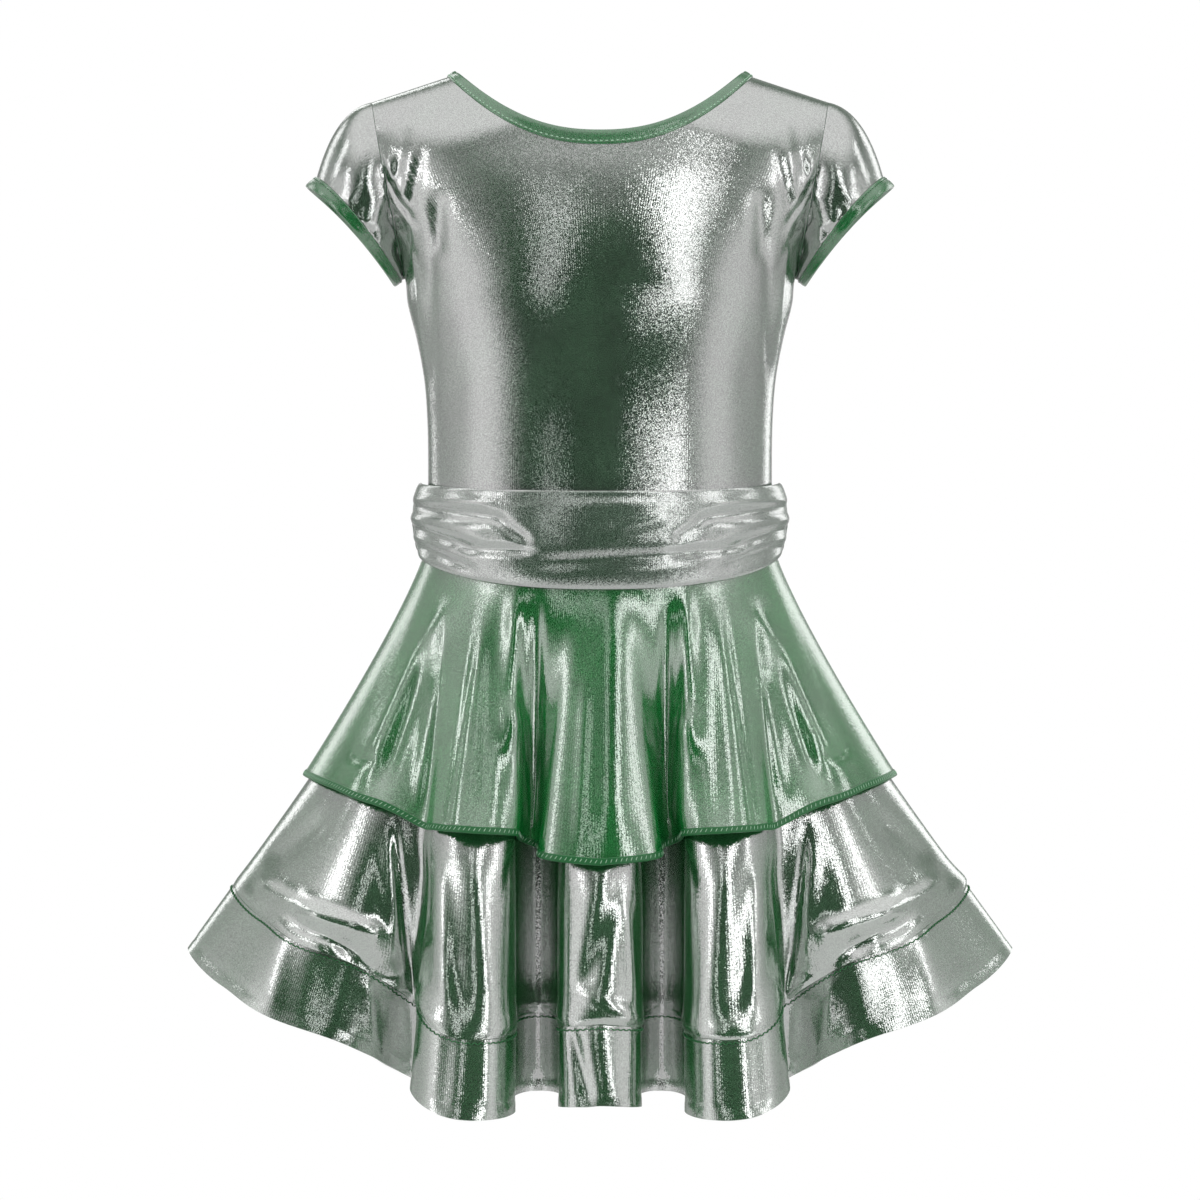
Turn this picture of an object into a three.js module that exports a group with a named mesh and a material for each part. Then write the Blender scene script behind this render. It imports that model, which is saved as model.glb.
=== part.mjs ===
// A girl's Latin dance dress in foil-coated stretch cloth, standing as it is worn, with no wearer in it.
//
// The bodice is a front and a back panel with bound cap sleeves and a bound scoop neck. A gathered belt
// covers the waist. Two circle-cut tiers hang from the waist seam: a short flounce over a long skirt,
// whose hem is finished with a deep stiffened band.
//
// Millimetres. +X is the viewer's right, -Y is the front, +Z is up. The origin lies between the two
// shoulders, level with their tops, where the wearer carries the dress.
import * as THREE from "three";

// Cloth and seams
const CLOTH = 1.2; // wall of one layer of cloth
const HEM_CLOTH = 2.2; // the hem band: two layers with a stiffener between them
const BINDING_CLOTH = 2.2; // folded binding
const SEAM_GAP = 0.36; // space between two pieces that are sewn together
const ARMHOLE_GAP = 1.2; // and more of it where the sleeve folds back from the armhole
const LAYER_GAP = 0.8; // space between two layers that lie on each other

// Body: one row for each height of the general figure that fills the bodice
const BODY = [
  { z: -310, half: 98.5, front: 77, back: 73 },
  { z: -274, half: 98.5, front: 77, back: 73 },
  { z: -233, half: 98, front: 76, back: 72 },
  { z: -198, half: 98.4, front: 76.5, back: 73 },
  { z: -175, half: 100.2, front: 78, back: 75 },
  { z: -152, half: 104.6, front: 80, back: 78 },
  { z: -132, half: 109.6, front: 81, back: 81 },
  { z: -118, half: 111.2, front: 80.5, back: 82 },
  { z: -95, half: 121, front: 76.5, back: 81 },
  { z: -66, half: 139, front: 68, back: 76 },
  { z: -40, half: 151, front: 58, back: 67 },
  { z: -19, half: 160, front: 50, back: 59 },
  { z: 5, half: 170, front: 42, back: 50 },
];
const SQUARENESS = 2.3; // exponent of the body's sections: 2 is an ellipse
const ROUNDING = 47; // height over which the shoulder rounds over
const NECK = { half: 87, point: -3.2, frontDip: -46.3, backDip: -49, power: 2.3 };
const NECK_BAND = { half: 82, point: 0, rise: 8.3 };
const ARMHOLE = { top: -17.5, bottom: -118, topHalf: 130, bottomHalf: 111.2 };
const NECK_COLUMNS = 8; // columns of half a panel that end at the neckline
const SHOULDER_COLUMNS = 2; // at the shoulder seam
const ARMHOLE_COLUMNS = 10; // and at the armhole
const BODICE_ROWS = 10;

// Sleeves: a cap that runs out to almost nothing under the arm
const CUFF = { topX: 161.4, topZ: -60.3, bottomX: 112.9, bottomZ: -118.8, depth: 44, hollow: 5 };
const CAP = { forward: 5, rise: 17.5, swell: 5 }; // how far it arches out, up, and to the front and back
const SLEEVE_ROWS = 4;
const CUFF_BAND = { topOut: 6, topDown: 5.6, bottomOut: 4.8, bottomDown: 3 };

// Waist seam and belt
const WAIST_SEAM = { side: -274.5, frontDrop: 21, backDrop: 15, power: 1.1 };
const BELT = { topSide: -234, frontDrop: 6.5, backDrop: 5, wall: 1.5, above: 0.5 };
const BELT_SWELL = { edge: 4, side: 5.2, centre: 2.5 };
const GATHERS = { count: 3, depth: 2, reach: 34 }; // folds at each side seam of the belt
const BELT_COLUMNS = 11; // in a quarter
const BELT_ROWS = 12;

// Folds of the right half, from the middle of the front round to the middle of the back, one row for each
// crest, flank or valley. x, y and z place it, heading is the way the cloth runs there in degrees from
// +X, and curl is how far its roundness reaches along that heading. The left half mirrors them.
const HEM_FOLDS = [
  { fold: "front crest", x: 0, y: -136, z: -576.5, heading: 0, curl: 16 },
  { fold: "front flank", x: 22.5, y: -110, z: -578, heading: 92, curl: 18 },
  { fold: "front valley", x: 34.5, y: -62, z: -575, heading: 0, curl: 9 },
  { fold: "inner flank", x: 46.5, y: -112, z: -580, heading: -92, curl: 18 },
  { fold: "inner crest", x: 76, y: -149, z: -582.5, heading: 3, curl: 20 },
  { fold: "outer flank", x: 104, y: -112, z: -567, heading: 96, curl: 18 },
  { fold: "outer valley", x: 104, y: -66, z: -568, heading: 5, curl: 10 },
  { fold: "side crest", x: 164, y: -90, z: -538.5, heading: 18, curl: 34 },
  { fold: "side panel", x: 212, y: -56, z: -516.5, heading: 55, curl: 24 },
  { fold: "side", x: 234, y: -8, z: -498, heading: 92, curl: 20 },
  { fold: "back side valley", x: 196, y: 48, z: -516, heading: 118, curl: 26 },
  { fold: "back outer crest", x: 156, y: 120, z: -546, heading: 146, curl: 38 },
  { fold: "back outer valley", x: 100, y: 80, z: -560, heading: 172, curl: 30 },
  { fold: "back inner crest", x: 54, y: 142, z: -570, heading: 180, curl: 40 },
  { fold: "back valley", x: 0, y: 84, z: -571, heading: 180, curl: 30 },
];
// The same folds of the skirt halfway down, where z follows from the column.
const HALFWAY_FOLDS = [
  { fold: "front crest", x: 0, y: -111, heading: 0, curl: 15 },
  { fold: "front flank", x: 23, y: -92, heading: 90, curl: 8 },
  { fold: "front valley", x: 34.5, y: -74, heading: 0, curl: 7 },
  { fold: "inner flank", x: 46.5, y: -93, heading: -90, curl: 8 },
  { fold: "inner crest", x: 69, y: -110, heading: 3, curl: 14 },
  { fold: "outer flank", x: 91, y: -95, heading: 55, curl: 8 },
  { fold: "outer valley", x: 101, y: -82, heading: 20, curl: 6 },
  { fold: "side crest", x: 127, y: -72, heading: 28, curl: 14 },
  { fold: "side panel", x: 145, y: -46, heading: 55, curl: 12 },
  { fold: "side", x: 155, y: -6, heading: 91, curl: 14 },
  { fold: "back side valley", x: 140, y: 38, heading: 118, curl: 14 },
  { fold: "back outer crest", x: 110, y: 85, heading: 146, curl: 22 },
  { fold: "back outer valley", x: 76, y: 78, heading: 172, curl: 18 },
  { fold: "back inner crest", x: 41, y: 104, heading: 180, curl: 20 },
  { fold: "back valley", x: 0, y: 81, heading: 180, curl: 18 },
];
// And the folds of the flounce at its edge.
const FLOUNCE_FOLDS = [
  { fold: "front crest", x: 0, y: -121, z: -446, heading: 0, curl: 20 },
  { fold: "front flank", x: 34, y: -104, z: -441, heading: 75, curl: 9 },
  { fold: "front valley", x: 39.5, y: -90, z: -436, heading: 0, curl: 3.5 },
  { fold: "inner flank", x: 45.5, y: -104, z: -431, heading: -80, curl: 8 },
  { fold: "inner crest", x: 68, y: -120, z: -428, heading: 4, curl: 14 },
  { fold: "outer flank", x: 91, y: -106, z: -427, heading: 50, curl: 8 },
  { fold: "outer valley", x: 99, y: -95, z: -426, heading: 28, curl: 6 },
  { fold: "side crest", x: 128, y: -84, z: -413, heading: 28, curl: 15 },
  { fold: "side panel", x: 152, y: -56, z: -405, heading: 55, curl: 13 },
  { fold: "side", x: 168.5, y: -8, z: -400, heading: 92, curl: 16 },
  { fold: "back side valley", x: 154, y: 44, z: -408, heading: 118, curl: 16 },
  { fold: "back outer crest", x: 123, y: 98, z: -425, heading: 146, curl: 24 },
  { fold: "back outer valley", x: 82, y: 92, z: -434, heading: 172, curl: 20 },
  { fold: "back inner crest", x: 43, y: 120, z: -440, heading: 180, curl: 24 },
  { fold: "back valley", x: 0, y: 96, z: -441, heading: 180, curl: 20 },
];
const FOLD_STEPS = 4; // columns from one crest or valley to the next
const FLOUNCE_ROWS = 6;
const SKIRT_ROWS = 8;
const BAND_ROWS = 2;
const HEM_DEPTH = 44;
const LIP = 4.5; // how far the skirt droops out over the top of its hem band
const FLARE = 1.17; // how late the tiers flare on their way down: 1 is a straight cone

const FOIL = { color: 0x9aa89d, roughness: 0.28, metalness: 0.9 };
const GREEN_FOIL = { color: 0x4f8f62, roughness: 0.28, metalness: 0.85 };
const BINDING = { color: 0x2f8a4c, roughness: 0.4, metalness: 0.6 };

const between = (from, to, share) => from + (to - from) * share;
const vector = (x, y, z) => new THREE.Vector3(x, y, z);
const rows = (count, makeRow) => Array.from({ length: count + 1 }, (_, i) => makeRow(i / count));

// A value from the rows of a table, on a smooth curve through them.
function smooth(table, column, z) {
  const last = table.length - 1;
  let i = 0;
  while (i < last - 1 && z > table[i + 1].z) i += 1;
  const slope = (a, b) => (table[b][column] - table[a][column]) / (table[b].z - table[a].z);
  const span = table[i + 1].z - table[i].z;
  const here = slope(i, i + 1);
  const before = i > 0 ? (slope(i - 1, i) + here) / 2 : here;
  const after = i < last - 1 ? (slope(i + 1, i + 2) + here) / 2 : here;
  const t = THREE.MathUtils.clamp((z - table[i].z) / span, 0, 1);
  const ends = between(table[i][column], table[i + 1][column], t * t * (3 - 2 * t));
  return ends + span * t * (1 - t) * ((1 - t) * before - t * after);
}

// Height of the shoulder's ridge at a distance from the middle.
function ridgeHeight(x) {
  return between(NECK.point, ARMHOLE.top, (x - NECK.half) / (ARMHOLE.topHalf - NECK.half));
}

// The bodice's outer surface. angle is 0 at the middle and a quarter turn at the side seams.
function bodicePoint(angle, z, face) {
  const x = smooth(BODY, "half", z) * Math.sign(angle) * Math.abs(Math.sin(angle)) ** (2 / SQUARENESS);
  const below = THREE.MathUtils.clamp((ridgeHeight(Math.abs(x)) - z) / ROUNDING, 0, 1);
  const depth = smooth(BODY, face, z) * Math.sqrt(1 - (1 - below) ** 2);
  const y = Math.abs(angle) === Math.PI / 2 ? 0 : depth * Math.cos(angle) ** (2 / SQUARENESS);
  return vector(x, face === "front" ? -y : y, z);
}

// The angle at which that surface has this distance from the middle.
function bodiceAngle(x, z) {
  return Math.asin(Math.min(1, x / smooth(BODY, "half", z)) ** (SQUARENESS / 2));
}

function neckline(share, face, rise, half, point) {
  const dip = face === "front" ? NECK.frontDip : NECK.backDip;
  const z = between(dip + rise, point, share ** NECK.power);
  return { angle: bodiceAngle(half * share, z), z };
}

// The armhole's edge at a turn round it: 0 at the shoulder, half a turn under the arm.
function armhole(turn) {
  const z = between(ARMHOLE.bottom, ARMHOLE.top, (1 + Math.cos(turn)) / 2);
  if (Math.abs(turn - Math.PI) < 1e-6) return { angle: Math.PI / 2, z: ARMHOLE.bottom };
  const x = between(ARMHOLE.bottomHalf, ARMHOLE.topHalf, (1 + Math.cos(turn)) / 2);
  return { angle: bodiceAngle(x, z), z };
}

// The share of the neckline that its columns have passed; they crowd towards the shoulder.
const neckShare = (column) => 1 - (1 - column / NECK_COLUMNS) ** 1.8;

// Where a column of a half panel ends: at the neckline, the shoulder seam or the armhole.
function bodiceTop(column, face) {
  if (column <= NECK_COLUMNS) return neckline(neckShare(column), face, 0, NECK.half, NECK.point);
  const along = (column - NECK_COLUMNS) / SHOULDER_COLUMNS;
  if (along < 1) {
    const x = between(NECK.half, ARMHOLE.topHalf, along);
    return { angle: bodiceAngle(x, ridgeHeight(x)), z: ridgeHeight(x) };
  }
  return armhole((Math.PI * (column - NECK_COLUMNS - SHOULDER_COLUMNS)) / ARMHOLE_COLUMNS);
}

function waistSeam(angle, face) {
  const drop = face === "front" ? WAIST_SEAM.frontDrop : WAIST_SEAM.backDrop;
  return WAIST_SEAM.side - drop * Math.max(0, Math.cos(angle)) ** WAIST_SEAM.power;
}

// Once round the dress: from the left side seam across the front, then back across the back.
function around(quarter, makePoint) {
  const front = Array.from({ length: 2 * quarter }, (_, i) => makePoint(i - quarter, "front"));
  const back = Array.from({ length: 2 * quarter }, (_, i) => makePoint(quarter - i, "back"));
  return [...front, ...back];
}

// Rings of the bodice from its upper edges down to the waist seam, closer together at the shoulders.
function bodiceRings() {
  const quarter = NECK_COLUMNS + SHOULDER_COLUMNS + ARMHOLE_COLUMNS;
  return rows(BODICE_ROWS, (share) =>
    around(quarter, (column, face) => {
      const foot = (Math.abs(column) / quarter) * (Math.PI / 2);
      const top = bodiceTop(Math.abs(column), face);
      const down = share ** 1.5;
      const angle = share === 0 ? top.angle : between(top.angle, foot, down);
      return bodicePoint(Math.sign(column) * angle, between(top.z, waistSeam(foot, face), down), face);
    }),
  );
}

// Rings of the belt from its top edge down. It lies round the bodice and swells off it.
function beltRings() {
  const place = (column) => {
    const share = 1 - (1 - Math.abs(column) / BELT_COLUMNS) ** 1.35;
    return Math.sign(column) * share * (Math.PI / 2);
  };
  const base = rows(BELT_ROWS, (down) =>
    around(BELT_COLUMNS, (column, face) => {
      const drop = face === "front" ? BELT.frontDrop : BELT.backDrop;
      const angle = place(column);
      const top = BELT.topSide - drop * Math.cos(angle);
      const bottom = waistSeam(angle, face) + BELT.above;
      return bodicePoint(angle, between(top, bottom, down), face);
    }),
  );
  return lifted(base, (down, column) => {
    const fromSeam = (Math.PI / 2 - Math.abs(place(column))) * 88;
    const gathered = Math.exp(-((fromSeam / GATHERS.reach) ** 2));
    const swell = between(BELT_SWELL.centre, BELT_SWELL.side, gathered) * Math.sin(Math.PI * down) ** 0.5;
    return BELT_SWELL.edge + swell - GATHERS.depth * gathered * Math.sin(Math.PI * GATHERS.count * down) ** 2;
  });
}

// Rings moved out along their normals by lift(share of the way down, column from -quarter to quarter).
function lifted(rings, lift) {
  const normals = ringNormals(rings);
  const quarter = rings[0].length / 4;
  const column = (j) => (j < 2 * quarter ? j - quarter : 3 * quarter - j);
  return rings.map((ring, i) =>
    ring.map((p, j) => p.clone().addScaledVector(normals[i][j], lift(i / (rings.length - 1), column(j), j))),
  );
}

// Rings of a sleeve from the armhole out to its edge, from the shoulder round by the back.
function sleeveRings() {
  const columns = 2 * ARMHOLE_COLUMNS;
  const curves = Array.from({ length: columns }, (_, i) => {
    const turn = (2 * Math.PI * i) / columns;
    const edge = armhole(turn <= Math.PI ? turn : 2 * Math.PI - turn);
    const start = bodicePoint(edge.angle, edge.z, turn <= Math.PI ? "back" : "front");
    const top = (1 + Math.cos(turn)) / 2;
    const height = between(CUFF.bottomZ, CUFF.topZ, top) + CUFF.hollow * Math.sin(turn) ** 2;
    const end = vector(between(CUFF.bottomX, CUFF.topX, top), CUFF.depth * Math.sin(turn), height);
    const arch = vector(CAP.forward, 0, CAP.rise).multiplyScalar(Math.max(0, Math.cos(turn)));
    const handle = start.clone().lerp(end, 0.5).add(arch).add(vector(0, CAP.swell * Math.sin(turn), 0));
    return new THREE.QuadraticBezierCurve3(start, handle, end);
  });
  return rows(SLEEVE_ROWS, (share) => curves.map((curve) => curve.getPoint(share)));
}

// The cuff binding carries the sleeve on past its edge.
function cuffRings(sleeve) {
  return rows(1, (share) =>
    sleeve[SLEEVE_ROWS].map((p, i) => {
      const top = (1 + Math.cos((2 * Math.PI * i) / sleeve[0].length)) / 2;
      const out = between(CUFF_BAND.bottomOut, CUFF_BAND.topOut, top);
      const down = between(CUFF_BAND.bottomDown, CUFF_BAND.topDown, top);
      return p.clone().add(vector(out * share, 0, -down * share));
    }),
  );
}

// The neck binding stands up from the neckline, from the left shoulder across the front and back again.
function neckRings() {
  return rows(1, (share) =>
    around(NECK_COLUMNS, (column, face) => {
      const rise = NECK_BAND.rise * (1 - share);
      const half = between(NECK_BAND.half, NECK.half, share);
      const point = between(NECK_BAND.point, NECK.point, share);
      const place = neckline(neckShare(Math.abs(column)), face, rise, half, point);
      return bodicePoint(Math.sign(column) * place.angle, place.z, face);
    }),
  );
}

// A curve once along the rows of a table of folds, as points.
function foldCurve(folds) {
  const handle = ({ heading, curl }) => {
    const turn = THREE.MathUtils.degToRad(heading);
    return vector(Math.cos(turn) * curl, Math.sin(turn) * curl, 0);
  };
  const place = ({ x, y }) => vector(x, y, 0);
  const points = [];
  folds.slice(1).forEach((to, i) => {
    const from = folds[i];
    const before = place(from).add(handle(from));
    const after = place(to).sub(handle(to));
    const curve = new THREE.CubicBezierCurve3(place(from), before, after, place(to));
    for (let step = i === 0 ? 0 : 1; step <= FOLD_STEPS; step += 1) {
      const p = curve.getPoint(step / FOLD_STEPS);
      p.z = between(from.z, to.z, step / FOLD_STEPS);
      points.push(p);
    }
  });
  return points;
}

// The right half of both tiers as columns, each with its points at the waist and at every table of folds.
function tierColumns() {
  const hem = foldCurve(HEM_FOLDS);
  const halfway = foldCurve(HALFWAY_FOLDS);
  const flounce = foldCurve(FLOUNCE_FOLDS);
  const side = HEM_FOLDS.findIndex((row) => row.fold === "side") * FOLD_STEPS;
  const passed = [0];
  hem.slice(1).forEach((p, i) => passed.push(passed[i] + p.distanceTo(hem[i])));
  const columns = hem.map((p, i) => {
    const face = i <= side ? "front" : "back";
    const from = face === "front" ? 0 : passed.at(-1);
    const angle = i === side ? Math.PI / 2 : (((passed[i] - from) / (passed[side] - from)) * Math.PI) / 2;
    const waist = bodicePoint(angle, waistSeam(angle, face), face);
    halfway[i].z = (waist.z + p.z) / 2;
    return { waist, halfway: halfway[i], hem: p, flounce: flounce[i] };
  });
  return { front: columns.slice(0, side + 1).reverse(), back: columns.slice(side) };
}

// A point on the way from the waist to a fold below it, which flares out the more the lower it gets.
function flared(waist, below, share) {
  const p = waist.clone().lerp(below, share ** FLARE);
  p.z = between(waist.z, below.z, share);
  return p;
}

// A point of the skirt at a share of the way down a column: flared to halfway, then straight to the hem.
function skirtPoint({ waist, halfway, hem }, down) {
  return down < 0.5 ? flared(waist, halfway, 2 * down) : halfway.clone().lerp(hem, 2 * down - 1);
}

// The share of the way down a column at which the hem band begins.
const stitchLine = ({ halfway, hem }) => 1 - HEM_DEPTH / (2 * halfway.distanceTo(hem));

// The tiers' columns once round, from the left side seam across the front and back again.
function tierRound() {
  const half = tierColumns();
  const flip = (p) => vector(-p.x, p.y, p.z);
  const mirror = (column) => Object.fromEntries(Object.entries(column).map(([name, p]) => [name, flip(p)]));
  const front = [...half.front.map(mirror), ...[...half.front].reverse().slice(1)];
  const back = [...half.back.slice(1), ...[...half.back.map(mirror)].reverse().slice(1)];
  return { columns: [...front, ...back].slice(0, -1), frontCount: front.length };
}

// Outward normals of rings that run from top to bottom, anticlockwise seen from above.
function ringNormals(rings) {
  const count = rings[0].length;
  return rings.map((ring, i) =>
    ring.map((_, j) => {
      const across = ring[(j + 1) % count].clone().sub(ring[(j + count - 1) % count]);
      const down = rings[Math.min(rings.length - 1, i + 1)][j].clone().sub(rings[Math.max(0, i - 1)][j]);
      return down.cross(across).normalize();
    }),
  );
}

// Part of each ring, from one column to another.
function panel(grid, from, to) {
  return grid.map((ring) => [...ring, ring[0]].slice(from, to + 1));
}

// Draws the outer rows and columns in by half a seam, so that neighbours stay apart.
function drawnIn(grid, closed, topGap) {
  const result = grid.map((row) => row.map((p) => p.clone()));
  const towards = (p, q, gap = SEAM_GAP) => p.addScaledVector(q.clone().sub(p).normalize(), gap / 2);
  const last = grid.length - 1;
  result[0].forEach((p, j) => towards(p, grid[1][j], topGap));
  result[last].forEach((p, j) => towards(p, grid[last - 1][j]));
  if (closed) return result;
  result.forEach((row, i) => {
    towards(row[0], grid[i][1]);
    towards(row.at(-1), grid[i].at(-2));
  });
  return result;
}

// A closed wall: the points moved out to be proud, the same points moved in, and a rim all round.
function clothWall(grid, normals, { closed = false, wall = CLOTH, proud = 0, topGap = SEAM_GAP }) {
  const drawn = drawnIn(grid, closed, topGap);
  const width = grid[0].length;
  const height = grid.length;
  const positions = [];
  for (const reach of [proud, proud - wall]) {
    const moved = drawn.map((row, i) => row.map((p, j) => p.clone().addScaledVector(normals[i][j], reach)));
    positions.push(...moved.flat().flatMap((p) => p.toArray()));
  }
  const at = (layer, i, j) => layer * width * height + i * width + (j % width);
  const indices = [];
  const quad = (a, b, c, d) => indices.push(a, b, c, a, c, d);
  const spans = closed ? width : width - 1;
  const end = height - 1;
  for (let j = 0; j < spans; j += 1) {
    for (let i = 0; i < end; i += 1) {
      quad(at(0, i, j), at(0, i + 1, j), at(0, i + 1, j + 1), at(0, i, j + 1));
      quad(at(1, i, j), at(1, i, j + 1), at(1, i + 1, j + 1), at(1, i + 1, j));
    }
    quad(at(0, 0, j), at(0, 0, j + 1), at(1, 0, j + 1), at(1, 0, j));
    quad(at(0, end, j), at(1, end, j), at(1, end, j + 1), at(0, end, j + 1));
  }
  for (let i = 0; i < end && !closed; i += 1) {
    quad(at(0, i, 0), at(1, i, 0), at(1, i + 1, 0), at(0, i + 1, 0));
    quad(at(0, i, spans), at(0, i + 1, spans), at(1, i + 1, spans), at(1, i, spans));
  }
  const geometry = new THREE.BufferGeometry();
  geometry.setAttribute("position", new THREE.Float32BufferAttribute(positions, 3));
  geometry.setIndex(indices);
  return geometry;
}

// Rings that share an edge also share its normals, so that the walls on both sides meet squarely.
const sheets = [];
const shared = new Map();
const key = (p) => p.toArray().map((v) => Math.round(v * 200) + 0).join();

function layOut(rings) {
  const normals = ringNormals(rings);
  rings.forEach((ring, i) => {
    ring.forEach((p, j) => shared.set(key(p), (shared.get(key(p)) ?? vector(0, 0, 0)).add(normals[i][j])));
  });
  return rings;
}

function cut(name, finish, rings, options = {}) {
  sheets.push({ name, finish, rings, options });
}

function cutFrontAndBack(name, finish, rings, options = {}) {
  const split = options.split ?? rings[0].length / 2;
  layOut(rings);
  cut(`${name}_front`, finish, panel(rings, 0, split), options);
  cut(`${name}_back`, finish, panel(rings, split, rings[0].length), options);
}

const { columns: TIERS, frontCount } = tierRound();
const split = frontCount - 1;
const skirtRings = (count, from, to) =>
  rows(count, (share) => TIERS.map((column) => skirtPoint(column, between(from(column), to(column), share))));

cutFrontAndBack("bodice", FOIL, bodiceRings());
cutFrontAndBack("belt", FOIL, beltRings(), { wall: BELT.wall });

// The flounce leaves the same seam outside the skirt, clear of it by one layer and a gap.
const flounceRing = (share) => TIERS.map((column) => flared(column.waist, column.flounce, share));
const flounce = rows(FLOUNCE_ROWS, flounceRing);
const clear = (down) => (CLOTH + LAYER_GAP) * (1 - down);
cutFrontAndBack("flounce", GREEN_FOIL, lifted(flounce, clear), { split });

// The skirt bulges over the top of its hem band.
const skirt = skirtRings(SKIRT_ROWS, () => 0, stitchLine);
const lip = (down) => LIP * Math.sin(Math.PI * Math.max(0, 4 * down - 3));
cutFrontAndBack("skirt", FOIL, lifted(skirt, lip), { split });
const band = skirtRings(BAND_ROWS, stitchLine, () => 1);
cutFrontAndBack("hem_band", FOIL, band, { split, wall: HEM_CLOTH, proud: 0.5 });

const mirrored = (rings) => rings.map((ring) => ring.map((p) => vector(-p.x, p.y, p.z)).reverse());
const sleeve = sleeveRings();
const cuff = cuffRings(sleeve);
const neck = neckRings();
const bound = { closed: true, wall: BINDING_CLOTH, proud: 0.5 };
cut("sleeve_right", FOIL, layOut(sleeve), { closed: true, topGap: ARMHOLE_GAP });
cut("sleeve_left", FOIL, layOut(mirrored(sleeve)), { closed: true, topGap: ARMHOLE_GAP });
cut("cuff_binding_right", BINDING, layOut(cuff), bound);
cut("cuff_binding_left", BINDING, layOut(mirrored(cuff)), bound);
cut("neck_binding", BINDING, layOut(neck), bound);

const dress = new THREE.Group();
for (const { name, finish, rings, options } of sheets) {
  const normals = rings.map((ring) => ring.map((p) => shared.get(key(p)).clone().normalize()));
  const mesh = new THREE.Mesh(clothWall(rings, normals, options), new THREE.MeshStandardMaterial(finish));
  mesh.name = name;
  dress.add(mesh);
}

export default dress;
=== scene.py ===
# %% [markdown]
# # A girl's latin dance dress
# The real dress is cut from a green stretch knit with silver foil printed on its right side. It has a
# front and a back panel, cap sleeves, bound neck and cuffs, a gathered belt, and two flared tiers whose
# lower one ends in a deep stiffened hem. It stands here as it is worn, with nobody in it.
#
# Every cloth piece starts as a flat grid of faces. A few short functions and tables then say where each
# part of the grid goes, in millimetres, as a pattern cutter would say it.

import math

import bmesh
import bpy
import numpy as np
from mathutils import Matrix, Vector


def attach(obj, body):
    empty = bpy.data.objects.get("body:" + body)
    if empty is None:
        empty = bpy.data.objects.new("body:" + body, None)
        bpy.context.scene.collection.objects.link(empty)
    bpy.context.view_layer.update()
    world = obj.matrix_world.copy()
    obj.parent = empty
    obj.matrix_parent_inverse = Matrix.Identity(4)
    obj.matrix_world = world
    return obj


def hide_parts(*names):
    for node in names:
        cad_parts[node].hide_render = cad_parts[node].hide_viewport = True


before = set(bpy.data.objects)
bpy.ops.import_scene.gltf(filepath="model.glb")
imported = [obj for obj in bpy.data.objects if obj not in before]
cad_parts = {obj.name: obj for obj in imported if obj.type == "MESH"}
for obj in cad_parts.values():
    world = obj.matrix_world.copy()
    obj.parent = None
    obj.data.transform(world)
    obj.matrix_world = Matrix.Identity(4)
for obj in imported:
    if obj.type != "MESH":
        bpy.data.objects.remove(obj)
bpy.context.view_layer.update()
MM = 0.001
print("CAD nodes:", ", ".join(sorted(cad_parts)))

# %% [markdown]
# ## From a grid to cloth
# A panel of cloth is a sheet with rows from its top edge down and columns across. `create_grid` makes
# the faces, and its corners are then moved to their places. A ring that goes all the way round meets
# itself, so its first and last columns are merged. The wall comes from a Solidify modifier, which
# grows inwards, so the outside stays where the tables put it. `passed_along` measures a line of points.

# %% Grid helpers
FRONT, BACK = -1, 1
WALL = {"bodice": 1.1, "sleeve": 1.0, "belt": 1.2, "skirt": 1.0, "flounce": 1.0, "hem_band": 1.8}  # in mm


def passed_along(path):
    """How far along a path each of its points lies."""
    return np.concatenate([[0], np.cumsum(np.linalg.norm(np.diff(path, axis=0), axis=1))])


def grid_normals(points, closed):
    """Outward normals of rows of points that run from top to bottom, anticlockwise seen from above."""
    if closed:
        across = np.roll(points, -1, axis=1) - np.roll(points, 1, axis=1)
    else:
        across = np.gradient(points, axis=1)
    normals = np.cross(np.gradient(points, axis=0), across)
    return normals / np.maximum(np.linalg.norm(normals, axis=2, keepdims=True), 1e-9)


def moved_out(points, lift, closed=True):
    """The points moved along their normals by lift, in mm."""
    return points + grid_normals(points, closed) * lift[..., None]


def sheet_mesh(name, points, closed=False, closed_rows=False):
    """A mesh of one layer whose grid corners lie at points, an array of rows, columns and x, y, z in mm."""
    if closed:
        points = np.concatenate([points, points[:, :1]], axis=1)
    if closed_rows:
        points = np.concatenate([points, points[:1]], axis=0)
    row_count, column_count = points.shape[:2]
    bm = bmesh.new()
    bmesh.ops.create_grid(bm, x_segments=column_count - 1, y_segments=row_count - 1, size=1)
    uv = bm.loops.layers.uv.new("cloth")
    steps = np.linalg.norm(np.diff(points, axis=1), axis=2).mean(axis=0)
    drops = np.linalg.norm(np.diff(points, axis=0), axis=2).mean(axis=1)
    across = np.concatenate([[0], np.cumsum(steps)]) * MM
    down = np.concatenate([[0], np.cumsum(drops)]) * MM
    for face in bm.faces:
        for loop in face.loops:
            row, column = divmod(loop.vert.index, column_count)
            loop[uv].uv = (across[column], -down[row])
    for vert, place in zip(bm.verts, points.reshape(-1, 3)):
        vert.co = Vector(place) * MM
    bmesh.ops.reverse_faces(bm, faces=bm.faces)
    if closed or closed_rows:
        bmesh.ops.remove_doubles(bm, verts=bm.verts, dist=0.00001)
    if closed_rows:
        bmesh.ops.recalc_face_normals(bm, faces=bm.faces)
    mesh = bpy.data.meshes.new(name)
    bm.to_mesh(mesh)
    bm.free()
    return mesh


def place_piece(mesh, material, smooth=True):
    """The finished piece, in the scene."""
    piece = bpy.data.objects.new(mesh.name, mesh)
    bpy.context.collection.objects.link(piece)
    mesh.materials.append(material)
    if smooth:
        mesh.shade_smooth()
    return piece


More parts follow.
